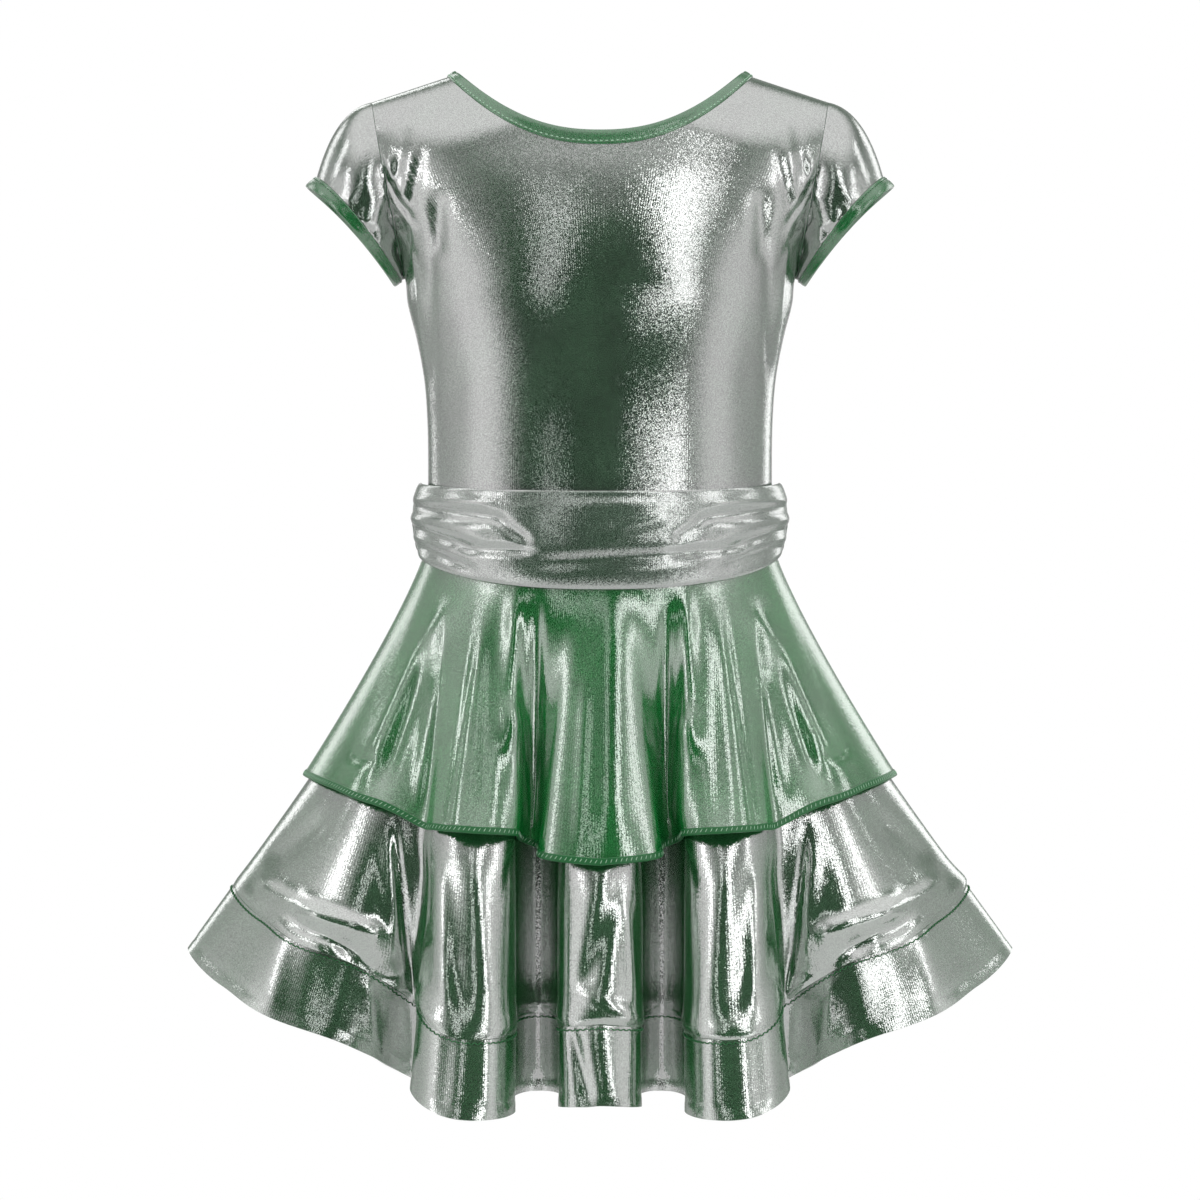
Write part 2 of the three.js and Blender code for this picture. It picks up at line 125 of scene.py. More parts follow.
def thicken(piece, wall):
    """Gives one layer its wall, whose inner side shows the bare knit, and keeps the cut edges crisp."""
    piece.data.materials.append(bare_knit)
    solid = piece.modifiers.new("wall", "SOLIDIFY")
    solid.thickness = wall * MM
    solid.offset = -1
    solid.use_quality_normals = True
    solid.material_offset = 1
    solid.material_offset_rim = 0
    walled = bpy.data.meshes.new_from_object(piece.evaluated_get(bpy.context.evaluated_depsgraph_get()))
    walled.set_sharp_from_angle(angle=math.radians(50))
    piece.modifiers.clear()
    piece.data = walled
    return piece


def cut_piece(name, points, material, wall, closed=False):
    """A piece of cloth, from its grid of points."""
    return thicken(place_piece(sheet_mesh(name, points, closed), material), wall)


# %% [markdown]
# ## Foil knit
# The foil is a broken film of metal on a green knit. Straight on, a bright light shows as silver, and
# where the room is dark the green of the knit comes through the cracks in the foil. A metal shader
# would tint the bright places and grey the dark ones. So this is a deep green cloth under a mirror
# film: a Principled shader with no metal in it and a very high IOR, which keeps its reflections white.
# Each flake of the foil is tilted a little its own way, which breaks the edges of the reflections into
# sparkle: a Voronoi texture gives every small cell one random direction, which is added to the
# surface's own. A fine noise makes the film stronger in some grains than in others, which gives the
# even tones their grain too. The knit's fine columns run down the piece as faint ribs.

# %% Finishes
FLAKES = 2300  # flakes of foil in a metre
WALES = 260  # the knit's columns: a band's scale, which makes one every 1.2 mm


def new_material(name, colour, roughness, ior):
    """A Principled material with its fixed numbers on the shader's own sockets."""
    material = bpy.data.materials.new(name)
    material.use_nodes = True
    nodes, links = material.node_tree.nodes, material.node_tree.links
    shader = nodes["Principled BSDF"]
    shader.inputs["Base Color"].default_value = (*colour, 1)
    shader.inputs["Roughness"].default_value = roughness
    shader.inputs["IOR"].default_value = ior
    return material, nodes, links, shader


def noise(nodes, links, vector, scale, detail, roughness=0.5):
    texture = nodes.new("ShaderNodeTexNoise")
    texture.inputs["Scale"].default_value = scale
    texture.inputs["Detail"].default_value = detail
    texture.inputs["Roughness"].default_value = roughness
    links.new(vector, texture.inputs["Vector"])
    return texture.outputs["Fac"]


def spread(nodes, links, value, low, high, to_low, to_high):
    """Maps a value's range onto another one."""
    node = nodes.new("ShaderNodeMapRange")
    for socket, number in zip(("From Min", "From Max", "To Min", "To Max"), (low, high, to_low, to_high)):
        node.inputs[socket].default_value = number
    links.new(value, node.inputs["Value"])
    return node.outputs["Result"]


def worked_out(nodes, links, kind, operation, *values):
    """A Math or VectorMath node, whose values are numbers or what other nodes give."""
    node = nodes.new("ShaderNode" + kind)
    node.operation = operation
    for socket, value in zip(node.inputs, values):
        if isinstance(value, (float, tuple)):
            socket.default_value = value
        else:
            links.new(value, socket)
    return node.outputs[0]


def two_toned(nodes, links, shader, dark, light, share):
    """The shader's colour: dark where share is 0 and light where it is 1."""
    tone = nodes.new("ShaderNodeMix")
    tone.data_type = "RGBA"
    tone.inputs["A"].default_value = (*dark, 1)
    tone.inputs["B"].default_value = (*light, 1)
    links.new(share, tone.inputs["Factor"])
    links.new(tone.outputs["Result"], shader.inputs["Base Color"])


def wales(nodes, links, distortion):
    """The knit's fine columns, which run down the piece."""
    ribs = nodes.new("ShaderNodeTexWave")
    ribs.wave_type, ribs.bands_direction = "BANDS", "X"
    ribs.inputs["Scale"].default_value = WALES
    ribs.inputs["Distortion"].default_value = distortion
    links.new(nodes.new("ShaderNodeUVMap").outputs["UV"], ribs.inputs["Vector"])
    return ribs.outputs["Fac"]


def bumped(nodes, links, shader, height, strength, depth, normal=None):
    """Relief on the shader's surface, on top of another normal where one is given."""
    bump = nodes.new("ShaderNodeBump")
    bump.inputs["Strength"].default_value = strength
    bump.inputs["Distance"].default_value = depth
    links.new(height, bump.inputs["Height"])
    if normal is not None:
        links.new(normal, bump.inputs["Normal"])
    links.new(bump.outputs["Normal"], shader.inputs["Normal"])


def foil(name, dark, light, roughness, ior, glitter):
    """Foil-printed knit: two tones of the green beneath, a mirror film on top, and a fine grain."""
    material, nodes, links, shader = new_material(name, dark, roughness, ior)
    place = nodes.new("ShaderNodeTexCoord").outputs["Object"]
    patches = spread(nodes, links, noise(nodes, links, place, 38, 3), 0.3, 0.7, 0.35, 1)
    cracks = noise(nodes, links, place, 1900, 1, 0.6)
    grain = spread(nodes, links, cracks, 0.4, 0.6, 0, 1)
    two_toned(nodes, links, shader, dark, light, worked_out(nodes, links, "Math", "MULTIPLY", patches, grain))
    rough = spread(nodes, links, cracks, 0.3, 0.7, roughness - 0.04, roughness + 0.06)
    links.new(rough, shader.inputs["Roughness"])
    film = spread(nodes, links, cracks, 0.35, 0.65, 0.42, 0.58)
    links.new(film, shader.inputs["Specular IOR Level"])
    flakes = nodes.new("ShaderNodeTexVoronoi")
    flakes.inputs["Scale"].default_value = FLAKES
    links.new(place, flakes.inputs["Vector"])
    tilt = worked_out(nodes, links, "VectorMath", "MULTIPLY_ADD", flakes.outputs["Color"],
                      (glitter,) * 3, (-glitter / 2,) * 3)
    surface = nodes.new("ShaderNodeNewGeometry").outputs["Normal"]
    tilted = worked_out(nodes, links, "VectorMath", "ADD", surface, tilt)
    straight = worked_out(nodes, links, "VectorMath", "NORMALIZE", tilted)
    bumped(nodes, links, shader, wales(nodes, links, 0.4), 0.06, 0.0002, straight)
    return material


silver_foil = foil("silver_foil_knit", (0.003, 0.042, 0.01), (0.07, 0.19, 0.09), 0.09, 4.6, 0.1)
skirt_foil = foil("skirt_foil_knit", (0.005, 0.07, 0.014), (0.05, 0.21, 0.075), 0.1, 5.0, 0.1)
belt_foil = foil("belt_foil_knit", (0.01, 0.06, 0.02), (0.09, 0.2, 0.11), 0.18, 4.6, 0.12)
green_foil = foil("green_foil_knit", (0.002, 0.105, 0.017), (0.014, 0.29, 0.055), 0.1, 3.0, 0.09)
binding_foil = foil("green_binding", (0.003, 0.11, 0.022), (0.008, 0.21, 0.045), 0.2, 2.2, 0.09)


def plain_knit(name, dark, light, roughness, ior):
    """Green knit with no foil on it, mottled, with its wales as fine ribs."""
    material, nodes, links, shader = new_material(name, dark, roughness, ior)
    place = nodes.new("ShaderNodeTexCoord").outputs["Object"]
    mottle = spread(nodes, links, noise(nodes, links, place, 260, 3), 0.3, 0.7, 0, 1)
    two_toned(nodes, links, shader, dark, light, mottle)
    bumped(nodes, links, shader, wales(nodes, links, 2), 0.35, 0.0003)
    return material


bare_knit = plain_knit("bare_green_knit", (0.012, 0.09, 0.03), (0.03, 0.16, 0.06), 0.75, 1.5)


def thread_material(name, colour, roughness):
    """Sewing thread: a soft sheen and a twist that breaks it up."""
    material, nodes, links, shader = new_material(name, colour, roughness, 1.55)
    place = nodes.new("ShaderNodeTexCoord").outputs["Object"]
    twist = noise(nodes, links, place, 1400, 2)
    bumped(nodes, links, shader, twist, 0.4, 0.0001)
    rough = spread(nodes, links, twist, 0.3, 0.7, roughness - 0.1, roughness + 0.1)
    links.new(rough, shader.inputs["Roughness"])
    return material


green_thread = thread_material("green_thread", (0.004, 0.13, 0.027), 0.4)
# This pale green is a painted highlight: it stands for the glints on thread that is really dark green.
highlight_painted_thread = thread_material("highlight_painted_thread", (0.42, 0.7, 0.48), 0.4)
finishes = (silver_foil, skirt_foil, belt_foil, green_foil, binding_foil, bare_knit)
print("Finishes:", ", ".join(finish.name for finish in finishes))

# %% [markdown]
# ## The body inside
# The bodice, belt and waist seam all lie on one general figure. The table gives its half width and its
# depth to the front and the back at a few heights, and its sections are a little squarer than an
# ellipse. A smooth curve runs through the heights, so that the foil shows no steps.

# %% The figure
BODY = np.array([  # height, half width, front depth, back depth
    (-310, 98.5, 77, 73), (-274, 98.5, 77, 73), (-233, 98, 76, 72), (-198, 98.4, 76.5, 73),
    (-175, 100.2, 78, 75), (-152, 104.6, 80, 78), (-132, 109.6, 81, 81), (-118, 111.2, 80.5, 82),
    (-95, 121, 76.5, 81), (-66, 139, 68, 76), (-40, 151, 58, 67), (-19, 160, 50, 59), (5, 170, 42, 50),
])
SQUARENESS = 2.3
ROUNDING = 47  # height over which the shoulder rounds over
NECK = {"half": 87, "point": -3.2, "front": -46.3, "back": -49, "power": 2.3}
ARMHOLE = {"top": -17.5, "bottom": -118, "top_half": 130, "bottom_half": 111.2}


def eased(t, a, b, slope_a, slope_b, span):
    """From a at 0 to b at 1, with its own slope at each end."""
    line = a + (b - a) * t * t * (3 - 2 * t)
    return line + span * t * (1 - t) * ((1 - t) * slope_a - t * slope_b)


def through(knots, values, at):
    """A smooth curve through values at knots. Each slope is the mean of those on its two sides."""
    slopes = np.diff(values, axis=0) / np.diff(knots).reshape((-1,) + (1,) * (values.ndim - 1))
    ends = np.concatenate([slopes[:1], (slopes[:-1] + slopes[1:]) / 2, slopes[-1:]])
    at = np.asarray(at, float)
    i = np.clip(np.searchsorted(knots, at, side="right") - 1, 0, len(knots) - 2)
    span = knots[i + 1] - knots[i]
    t = np.clip((at - knots[i]) / span, 0, 1)
    if values.ndim > 1:
        span, t = span[..., None], t[..., None]
    return eased(t, values[i], values[i + 1], ends[i], ends[i + 1], span)


def figure_at(z):
    """Half width, front depth and back depth at a height."""
    return np.moveaxis(through(BODY[:, 0], BODY[:, 1:], z), -1, 0)


def ridge(x):
    """Height of the shoulder's ridge at a distance from the middle."""
    slope = (ARMHOLE["top"] - NECK["point"]) / (ARMHOLE["top_half"] - NECK["half"])
    return NECK["point"] + (x - NECK["half"]) * slope


def on_body(angle, z, face):
    """Points of the bodice. The angle is 0 at the middle and a quarter turn at the side seams."""
    angle, z, face = np.broadcast_arrays(np.asarray(angle, float), z, face)
    half, front, back = figure_at(z)
    x = half * np.sign(angle) * np.abs(np.sin(angle)) ** (2 / SQUARENESS)
    below = np.clip((ridge(np.abs(x)) - z) / ROUNDING, 0, 1)
    depth = np.where(face == FRONT, front, back) * np.sqrt(1 - (1 - below) ** 2)
    y = face * depth * np.abs(np.cos(angle)) ** (2 / SQUARENESS)
    return np.stack([x, y, z], axis=-1)


def angle_at(x, z):
    """The angle at which the body has this distance from the middle."""
    return np.arcsin(np.minimum(1, x / figure_at(z)[0]) ** (SQUARENESS / 2))


def neckline(share, face, rise=0, half=NECK["half"], point=NECK["point"]):
    """Angle and height of the neckline from its middle, at 0, to the shoulder, at 1."""
    dip = np.where(face == FRONT, NECK["front"], NECK["back"]) + rise
    z = dip + (point - dip) * share ** NECK["power"]
    return angle_at(half * share, z), z


def armhole(turn):
    """Angle and height of the armhole's edge: 0 at the shoulder and half a turn under the arm."""
    up = (1 + np.cos(turn)) / 2
    z = ARMHOLE["bottom"] + (ARMHOLE["top"] - ARMHOLE["bottom"]) * up
    x = ARMHOLE["bottom_half"] + (ARMHOLE["top_half"] - ARMHOLE["bottom_half"]) * up
    return np.where(up < 1e-9, math.pi / 2, angle_at(x, z)), z


chest = on_body(np.linspace(-math.pi / 2, math.pi / 2, 90), -150.0, FRONT)
print(f"Front chest arc: {passed_along(chest)[-1]:.0f} mm")

# %% [markdown]
# ## Creases
# A glossy cloth is drawn by its creases, so they are placed one by one. Each row gives a line on the
# front or the back, from one end to the other, with a width and a depth. A positive depth is a ridge
# and a negative one a trough. Both ends run out softly. Where a crease folds over itself, a last number,
# its lean, adds a rise on one side and a dip on the other.

# %% Crease helper
RUN_OUT = 0.35  # share of a crease's length in which each end runs out
BEYOND = 0.4  # share of that stretch that lies beyond the end
LEAN_RISE = 1.6  # with it a lean rises to about 0.7 of its number


def creased(points, normals, face, table, fade=0.01):
    """The points moved along their normals by every crease in the table that lies on their face. Where
    the cloth turns away to the side by more than fade allows, its creases run out."""
    lift = np.zeros(points.shape[:2])
    for side, creases in table.items():
        for x0, z0, x1, z1, width, depth, *lean in creases:
            ax, az = points[..., 0] - x0, points[..., 2] - z0
            dx, dz = x1 - x0, z1 - z0
            length = math.hypot(dx, dz)
            along = (ax * dx + az * dz) / length**2
            off = (ax * dz - az * dx) / length / width
            ends = np.clip(along / RUN_OUT + BEYOND, 0, 1) * np.clip((1 - along) / RUN_OUT + BEYOND, 0, 1)
            ends = ends * ends * (3 - 2 * ends)
            lift += (face == side) * ends * np.exp(-(off**2)) * (depth + sum(lean) * off * LEAN_RISE)
    lift *= np.clip(np.abs(normals[..., 1]) / fade, 0, 1)
    return points + normals * lift[..., None]


def from_edge(points, axis, end):
    """How far each point lies along its row (axis 1) or column (axis 0) from the first or last one."""
    steps = np.linalg.norm(np.diff(points, axis=axis), axis=2)
    first = np.zeros_like(np.take(steps, [0], axis=axis))
    passed = np.concatenate([first, np.cumsum(steps, axis=axis)], axis=axis)
    return passed if end == 0 else np.take(passed, [-1], axis=axis) - passed


def seamed(points, *distances, sink=0.55, reach=1.1):
    """Points drawn in beside a seam, where its stitches pull the cloth into a groove."""
    depth = sum(np.exp(-((d / reach) ** 2)) for d in distances)
    return moved_out(points, -sink * np.minimum(depth, 1), closed=False)


# %% [markdown]
# ## Bodice
# The front and the back panel are cut in one with the shoulders. Their columns end at the neckline, the
# shoulder seam or the armhole, and all run down to the waist seam under the belt. The rows crowd
# towards the shoulders, where the cloth rounds over. Short pulls fan out from the armhole seams, and a
# long one runs down the side from each armpit.

# %% Bodice panels
WAIST = {"side": -274.5, "front": 21, "back": 15, "power": 1.1}
NECK_STEPS, SHOULDER_STEPS, ARMHOLE_STEPS = 36, 12, 72
QUARTER = NECK_STEPS + SHOULDER_STEPS + ARMHOLE_STEPS
BODICE_ROWS = 116
CROWDING = {"neck": 1.8, "rows": 1.5, "belt": 1.35}  # how the lines crowd towards one end
BODICE_CREASES = {  # from x, z, to x, z, width, depth and, where it has one, its lean
    FRONT: [
        (-109, -34, -116, -68, 2.2, -0.9), (-105, -48, -110, -76, 2.0, 0.9),
        (-101, -48, -106, -78, 2.2, -1.0, 0.2), (-121, -50, -109, -80, 3.0, 1.2),
        (-122, -62, -106, -88, 2.4, -1.1, 0.2), (-118, -74, -104, -94, 2.2, 0.9),
        (-114, -84, -100, -118, 2.2, -0.9), (-108, -94, -100, -140, 2.4, 0.8),
        (-91, -76, -91, -108, 4.4, -2.2), (-95, -104, -96, -180, 3.2, -1.5, 0.3),
        (-102, -116, -98, -210, 3.0, 1.3, 0.3), (-82, -170, -89, -240, 8.0, -0.8),
        (110, -33, 116, -66, 2.2, -0.9), (105, -46, 110, -77, 2.0, 0.8),
        (100, -50, 106, -80, 2.2, -0.9, -0.2), (121, -52, 109, -82, 3.0, 1.2),
        (121, -64, 106, -90, 2.4, -1.0, -0.2), (117, -76, 104, -97, 2.2, 0.9),
        (113, -86, 100, -116, 2.2, -0.9), (108, -92, 100, -142, 2.4, 0.8), (91, -74, 91, -112, 4.4, -2.1),
        (95, -102, 96, -176, 3.2, -1.5, -0.3), (102, -114, 98, -214, 3.0, 1.3, -0.3),
        (83, -166, 89, -236, 8.0, -0.8),
    ],
    BACK: [
        (-124, -30, -119, -66, 3.4, -1.1, 0.3), (-112, -44, -108, -90, 3.6, 1.2, 0.4),
        (-103, -60, -105, -106, 3.6, -1.2, 0.3), (-94, -108, -90, -196, 6.5, -1.6, 0.4),
        (125, -32, 120, -70, 3.4, -1.0, -0.3), (111, -46, 108, -92, 3.6, 1.1, -0.4),
        (102, -64, 106, -108, 3.8, -1.2, -0.3), (95, -104, 91, -204, 6.5, -1.7, -0.4),
        (-6, -208, 26, -232, 9.0, -0.9, 0.4), (10, -176, -34, -206, 11.0, 0.8, 0.3),
    ],
}


def waist_height(angle, face):
    drop = np.where(face == FRONT, WAIST["front"], WAIST["back"])
    return WAIST["side"] - drop * np.maximum(0, np.cos(angle)) ** WAIST["power"]


def with_seam_columns(columns):
    """Two more columns close to each end, so that the mesh can follow the groove of the seam."""
    first, last = columns[0], columns[-1]
    return np.sort(np.concatenate([columns, [first + 0.3, first + 0.6, last - 0.6, last - 0.3]]))


def crowded(share, name):
    """Shares from 0 to 1 that crowd towards 1."""
    return 1 - (1 - share) ** CROWDING[name]


def bodice_points(face):
    column = with_seam_columns(np.arange(-QUARTER, QUARTER + 1.0))
    step = np.abs(column)
    neck_angle, neck_z = neckline(crowded(np.minimum(step / NECK_STEPS, 1), "neck"), face)
    shoulder_x = NECK["half"] + (ARMHOLE["top_half"] - NECK["half"]) * np.clip(
        (step - NECK_STEPS) / SHOULDER_STEPS, 0, 1)
    turn = math.pi * np.clip((step - NECK_STEPS - SHOULDER_STEPS) / ARMHOLE_STEPS, 0, 1)
    arm_angle, arm_z = armhole(turn)
    at_neck = step <= NECK_STEPS
    at_shoulder = step < NECK_STEPS + SHOULDER_STEPS
    shoulder_angle = angle_at(shoulder_x, ridge(shoulder_x))
    top_angle = np.where(at_neck, neck_angle, np.where(at_shoulder, shoulder_angle, arm_angle))
    top_z = np.where(at_neck, neck_z, np.where(at_shoulder, ridge(shoulder_x), arm_z))
    foot = step / QUARTER * math.pi / 2
    down = (np.linspace(0, 1, BODICE_ROWS + 1) ** CROWDING["rows"])[:, None]
    angle = top_angle + (foot - top_angle) * down
    z = top_z + (waist_height(foot, face) - top_z) * down
    points = on_body(np.sign(column) * angle, z, face)
    return points if face == FRONT else points[:, ::-1]


def make_bodice(name, face):
    points = bodice_points(face)
    points = creased(points, grid_normals(points, False), face, BODICE_CREASES, fade=0.8)
    column = np.linspace(-1, 1, points.shape[1])
    bound = np.abs(column) < NECK_STEPS / QUARTER  # the binding covers this edge, so it has no groove
    sewn_top = np.where(bound, np.inf, from_edge(points, 0, 0))
    points = seamed(points, from_edge(points, 1, 0), from_edge(points, 1, 1), sewn_top, sink=0.35)
    return cut_piece(name, points, silver_foil, WALL["bodice"])


bodice_front = make_bodice("bodice_front_cloth", FRONT)
bodice_back = make_bodice("bodice_back_cloth", BACK)
print("Bodice:", len(bodice_front.data.polygons), "faces a panel")

# %% [markdown]
# ## Sleeves
# A cap sleeve leaves the shoulder in a smooth arch and runs out to almost nothing under the arm. Each
# column is a bent line from the armhole to the sleeve's edge. The binding draws the edge in a little,
# so small gathers stand above it, and the armhole seam throws a few puckers into the cap.

# %% Sleeve caps
CUFF = {"top_x": 161.4, "top_z": -60.3, "bottom_x": 112.9, "bottom_z": -118.8, "depth": 44, "hollow": 5}
CAP = {"forward": 5, "rise": 17.5, "swell": 5}
SLEEVE_COLUMNS, SLEEVE_ROWS = 260, 48
HELD = {"share": 1 / 14, "least": 0.15}  # the seams hold the cloth flat near them, but not quite at the cuff
SLEEVE_PUCKERS = [  # place round the armhole in turns from the shoulder by the back, width, depth, reach
    (0.12, 0.022, 0.7, 0.4), (0.2, 0.018, -0.8, 0.55), (0.27, 0.02, 0.9, 0.6), (0.34, 0.017, -0.9, 0.7),
    (0.41, 0.02, 0.8, 0.8), (0.58, 0.018, 0.59, 0.85), (0.625, 0.013, -1.04, 0.9), (0.66, 0.012, 0.98, 0.9),
    (0.695, 0.013, -1.3, 0.8), (0.735, 0.013, 1.04, 0.6), (0.775, 0.015, -0.72, 0.5),
    (0.84, 0.02, 0.33, 0.3),
]
HEM_GATHERS = [  # the same at the sleeve's edge, where the reach is measured back from the edge
    (0.1, 0.014, 0.5, 0.3), (0.17, 0.012, -0.6, 0.35), (0.24, 0.014, 0.6, 0.4), (0.31, 0.012, -0.7, 0.45),
    (0.64, 0.009, -0.85, 0.6), (0.668, 0.008, 0.78, 0.55), (0.695, 0.009, -0.98, 0.6),
    (0.722, 0.009, 0.78, 0.5), (0.752, 0.01, -0.85, 0.55), (0.785, 0.011, 0.59, 0.4),
    (0.83, 0.012, -0.39, 0.3), (0.88, 0.014, 0.26, 0.25),
]


def sleeve_points():
    turn = np.linspace(0, 2 * math.pi, SLEEVE_COLUMNS, endpoint=False)
    angle, z = armhole(np.where(turn <= math.pi, turn, 2 * math.pi - turn))
    start = on_body(angle, z, np.where(turn <= math.pi, BACK, FRONT))
    up = (1 + np.cos(turn)) / 2
    end_x = CUFF["bottom_x"] + (CUFF["top_x"] - CUFF["bottom_x"]) * up
    end_z = CUFF["bottom_z"] + (CUFF["top_z"] - CUFF["bottom_z"]) * up + CUFF["hollow"] * np.sin(turn) ** 2
    end = np.stack([end_x, CUFF["depth"] * np.sin(turn), end_z], axis=-1)
    lift = np.maximum(0, np.cos(turn))
    swell = np.stack([CAP["forward"] * lift, CAP["swell"] * np.sin(turn), CAP["rise"] * lift], axis=-1)
    middle = (start + end) / 2 + swell
    t = np.linspace(0, 1, SLEEVE_ROWS + 1)[:, None, None]
    points = start * (1 - t) ** 2 + middle * 2 * t * (1 - t) + end * t * t
    share, around = np.broadcast_arrays(t[..., 0], turn / (2 * math.pi))
    relief = np.zeros(share.shape)
    for place, width, depth, reach in SLEEVE_PUCKERS:
        relief += depth * np.exp(-(((around - place) / width) ** 2)) * np.clip(1 - share / reach, 0, 1) ** 1.5
    for place, width, depth, reach in HEM_GATHERS:
        rest = np.clip(1 - (1 - share) / reach, 0, 1) ** 1.5
        relief += depth * np.exp(-(((around - place) / width) ** 2)) * rest
    relief *= np.clip(share / HELD["share"], 0, 1) * np.clip((1 - share) / HELD["share"], HELD["least"], 1)
    return moved_out(points, relief)


def mirrored(points):
    """The same rings on the left, still anticlockwise seen from above."""
    return (points * (-1, 1, 1))[:, ::-1]


sleeve_ring = sleeve_points()
sleeve_right = cut_piece("sleeve_right_cloth", sleeve_ring, silver_foil, WALL["sleeve"], True)
sleeve_left = cut_piece("sleeve_left_cloth", mirrored(sleeve_ring), silver_foil, WALL["sleeve"], True)
print("Sleeves:", len(sleeve_right.data.polygons), "faces each")

# %% [markdown]
# ## Bindings
# A binding is a strip of green knit folded over the raw edge and sewn through. Seen end on it is a
# flat, rounded loop with a small dent where the stitches pull it in. That loop is swept along the edge:
# each row of the grid is one corner of the loop, and both directions are closed.

# %% Bindings swept along an edge
LOOP = {"steps": 20, "across": 0.55, "out": 0.7}  # corners, and how square it is in both directions
DENT = {"depth": 0.45, "reach": 0.8}
BINDING = {"half_wall": 1.1, "stitch_at": 1.8}


def swept(name, start, end, normals, half_wall, stitch_at, material):
    """A flat rounded loop between two edges. stitch_at is how far the dent lies from start, in mm."""
    across = end - start
    width = np.linalg.norm(across, axis=-1, keepdims=True)
    across = across / width
    rings = []
    for i in range(LOOP["steps"]):
        turn = 2 * math.pi * i / LOOP["steps"]
        side, out = math.cos(turn), math.sin(turn)
        along = width * (0.5 + 0.5 * math.copysign(abs(side) ** LOOP["across"], side))
        dent = 1 - DENT["depth"] * np.exp(-(((along - stitch_at) / DENT["reach"]) ** 2))
        rise = half_wall * math.copysign(abs(out) ** LOOP["out"], out) * dent
        rings.append(start + across * along + normals * rise)
    return place_piece(sheet_mesh(name, np.array(rings), True, True), material)


NECK_BAND = {"rise": 8.3, "half": 82, "point": 0}


def neck_edge(rise, half, point):
    """An edge that runs all the way round the neck."""
    sides = []
    for face in (FRONT, BACK):
        angle, z = neckline(crowded(np.linspace(0, 1, 61), "neck"), face, rise, half, point)
        sides.append(np.concatenate([on_body(-angle, z, face)[::-1], on_body(angle, z, face)[1:]]))
    front, back = sides
    return np.concatenate([front, back[::-1][1:-1]])


neck_low = neck_edge(0, NECK["half"], NECK["point"])
neck_high = neck_edge(**NECK_BAND)
neck_along = np.roll(neck_low, -1, axis=0) - np.roll(neck_low, 1, axis=0)
neck_out = np.cross(neck_along, neck_high - neck_low)
neck_out /= np.linalg.norm(neck_out, axis=-1, keepdims=True)
neck_binding = swept("neck_binding_cloth", neck_low, neck_high, neck_out, material=binding_foil, **BINDING)

CUFF_BAND = {"top_out": 6, "top_down": 5.6, "bottom_out": 4.8, "bottom_down": 3}


def make_cuff(name, ring, side):
    edge = ring[-1]
    up = (1 + np.cos(np.linspace(0, 2 * math.pi, len(edge), endpoint=False))) / 2
    if side < 0:
        up = up[::-1]
    out = CUFF_BAND["bottom_out"] + (CUFF_BAND["top_out"] - CUFF_BAND["bottom_out"]) * up
    down = CUFF_BAND["bottom_down"] + (CUFF_BAND["top_down"] - CUFF_BAND["bottom_down"]) * up
    far = edge + np.stack([side * out, 0 * out, -down], axis=-1)
    normals = grid_normals(np.stack([edge, far]), True)[0]
    return swept(name, edge, far, normals, material=binding_foil, **BINDING), edge, far, normals


cuff_right, *cuff_right_edges = make_cuff("cuff_binding_right_cloth", sleeve_ring, 1)
cuff_left, *cuff_left_edges = make_cuff("cuff_binding_left_cloth", mirrored(sleeve_ring), -1)
print(f"Neck binding: {passed_along(neck_low)[-1]:.0f} mm round")

# %% [markdown]
# ## Belt
# The belt is a wide strip gathered into both side seams. Its folds start as small pleats at the seam and
# fade out towards the middle, where a few broad ones lie across, and the belt swells off the bodice
# between them. All the folds are placed one by one.

# %% Belt
BELT = {"top": -234, "front_drop": 6.5, "back_drop": 5, "off_body": 4, "past_waist": 0.5}
BELT_SWELL = {"middle": 2.5, "seam": 2.7, "seam_reach": 34, "radius": 88}  # in mm
BELT_QUARTER, BELT_ROWS = 90, 64
BELT_CREASES = {
    FRONT: [
        (-110, -249, -54, -256.5, 3.6, -2.2, 0.7), (-60, -256, -40, -270, 3.6, -1.5, 0.7),
        (-110, -258, -72, -271, 3.4, -2.2, -0.7), (-80, -271, -38, -273, 3.6, -1.9, -0.7),
        (-108, -254, -66, -264, 4.6, 1.4), (-106, -243, -60, -246, 3.4, 1.0, 0.4),
        (-108, -268, -70, -283, 3.2, -1.6, -0.5), (-104, -276, -74, -287, 3.0, 1.0),
        (-44, -245, 36, -243.5, 4.0, -0.8, 0.3), (-36, -282, 50, -277, 5.0, -1.0, 0.4),
        (4, -262, 40, -252, 5.0, 0.7, 0.3), (110, -249.5, 56, -256, 3.6, -2.1, -0.7),
        (62, -255.5, 42, -269, 3.6, -1.5, -0.7), (110, -258.5, 73, -271, 3.4, -2.1, 0.7),
        (82, -270.5, 40, -274, 3.6, -1.8, 0.7), (108, -254, 68, -263, 4.6, 1.4),
        (106, -243, 62, -246.5, 3.4, 1.0, -0.4), (108, -268, 68, -282, 3.2, -1.6, 0.5),
    ],
    BACK: [
        (-112, -252, -62, -256, 3.4, -2.4, 0.6), (-112, -262, -44, -272, 3.6, -2.2, -0.7),
        (-106, -246, -46, -244, 3.8, -1.3, 0.4), (-90, -262, -40, -268, 5.0, 1.5, 0.6),
        (-36, -274, 50, -268, 5.5, -1.0, 0.4), (112, -253, 70, -258, 3.4, -2.3, -0.6),
        (112, -263, 50, -274, 3.6, -2.3, 0.7), (106, -247, 40, -243, 3.8, -1.2, -0.4),
        (92, -260, 44, -266, 5.0, 1.4, -0.6), (-20, -248, 36, -252, 5.0, 0.7, 0.3),
    ],
}


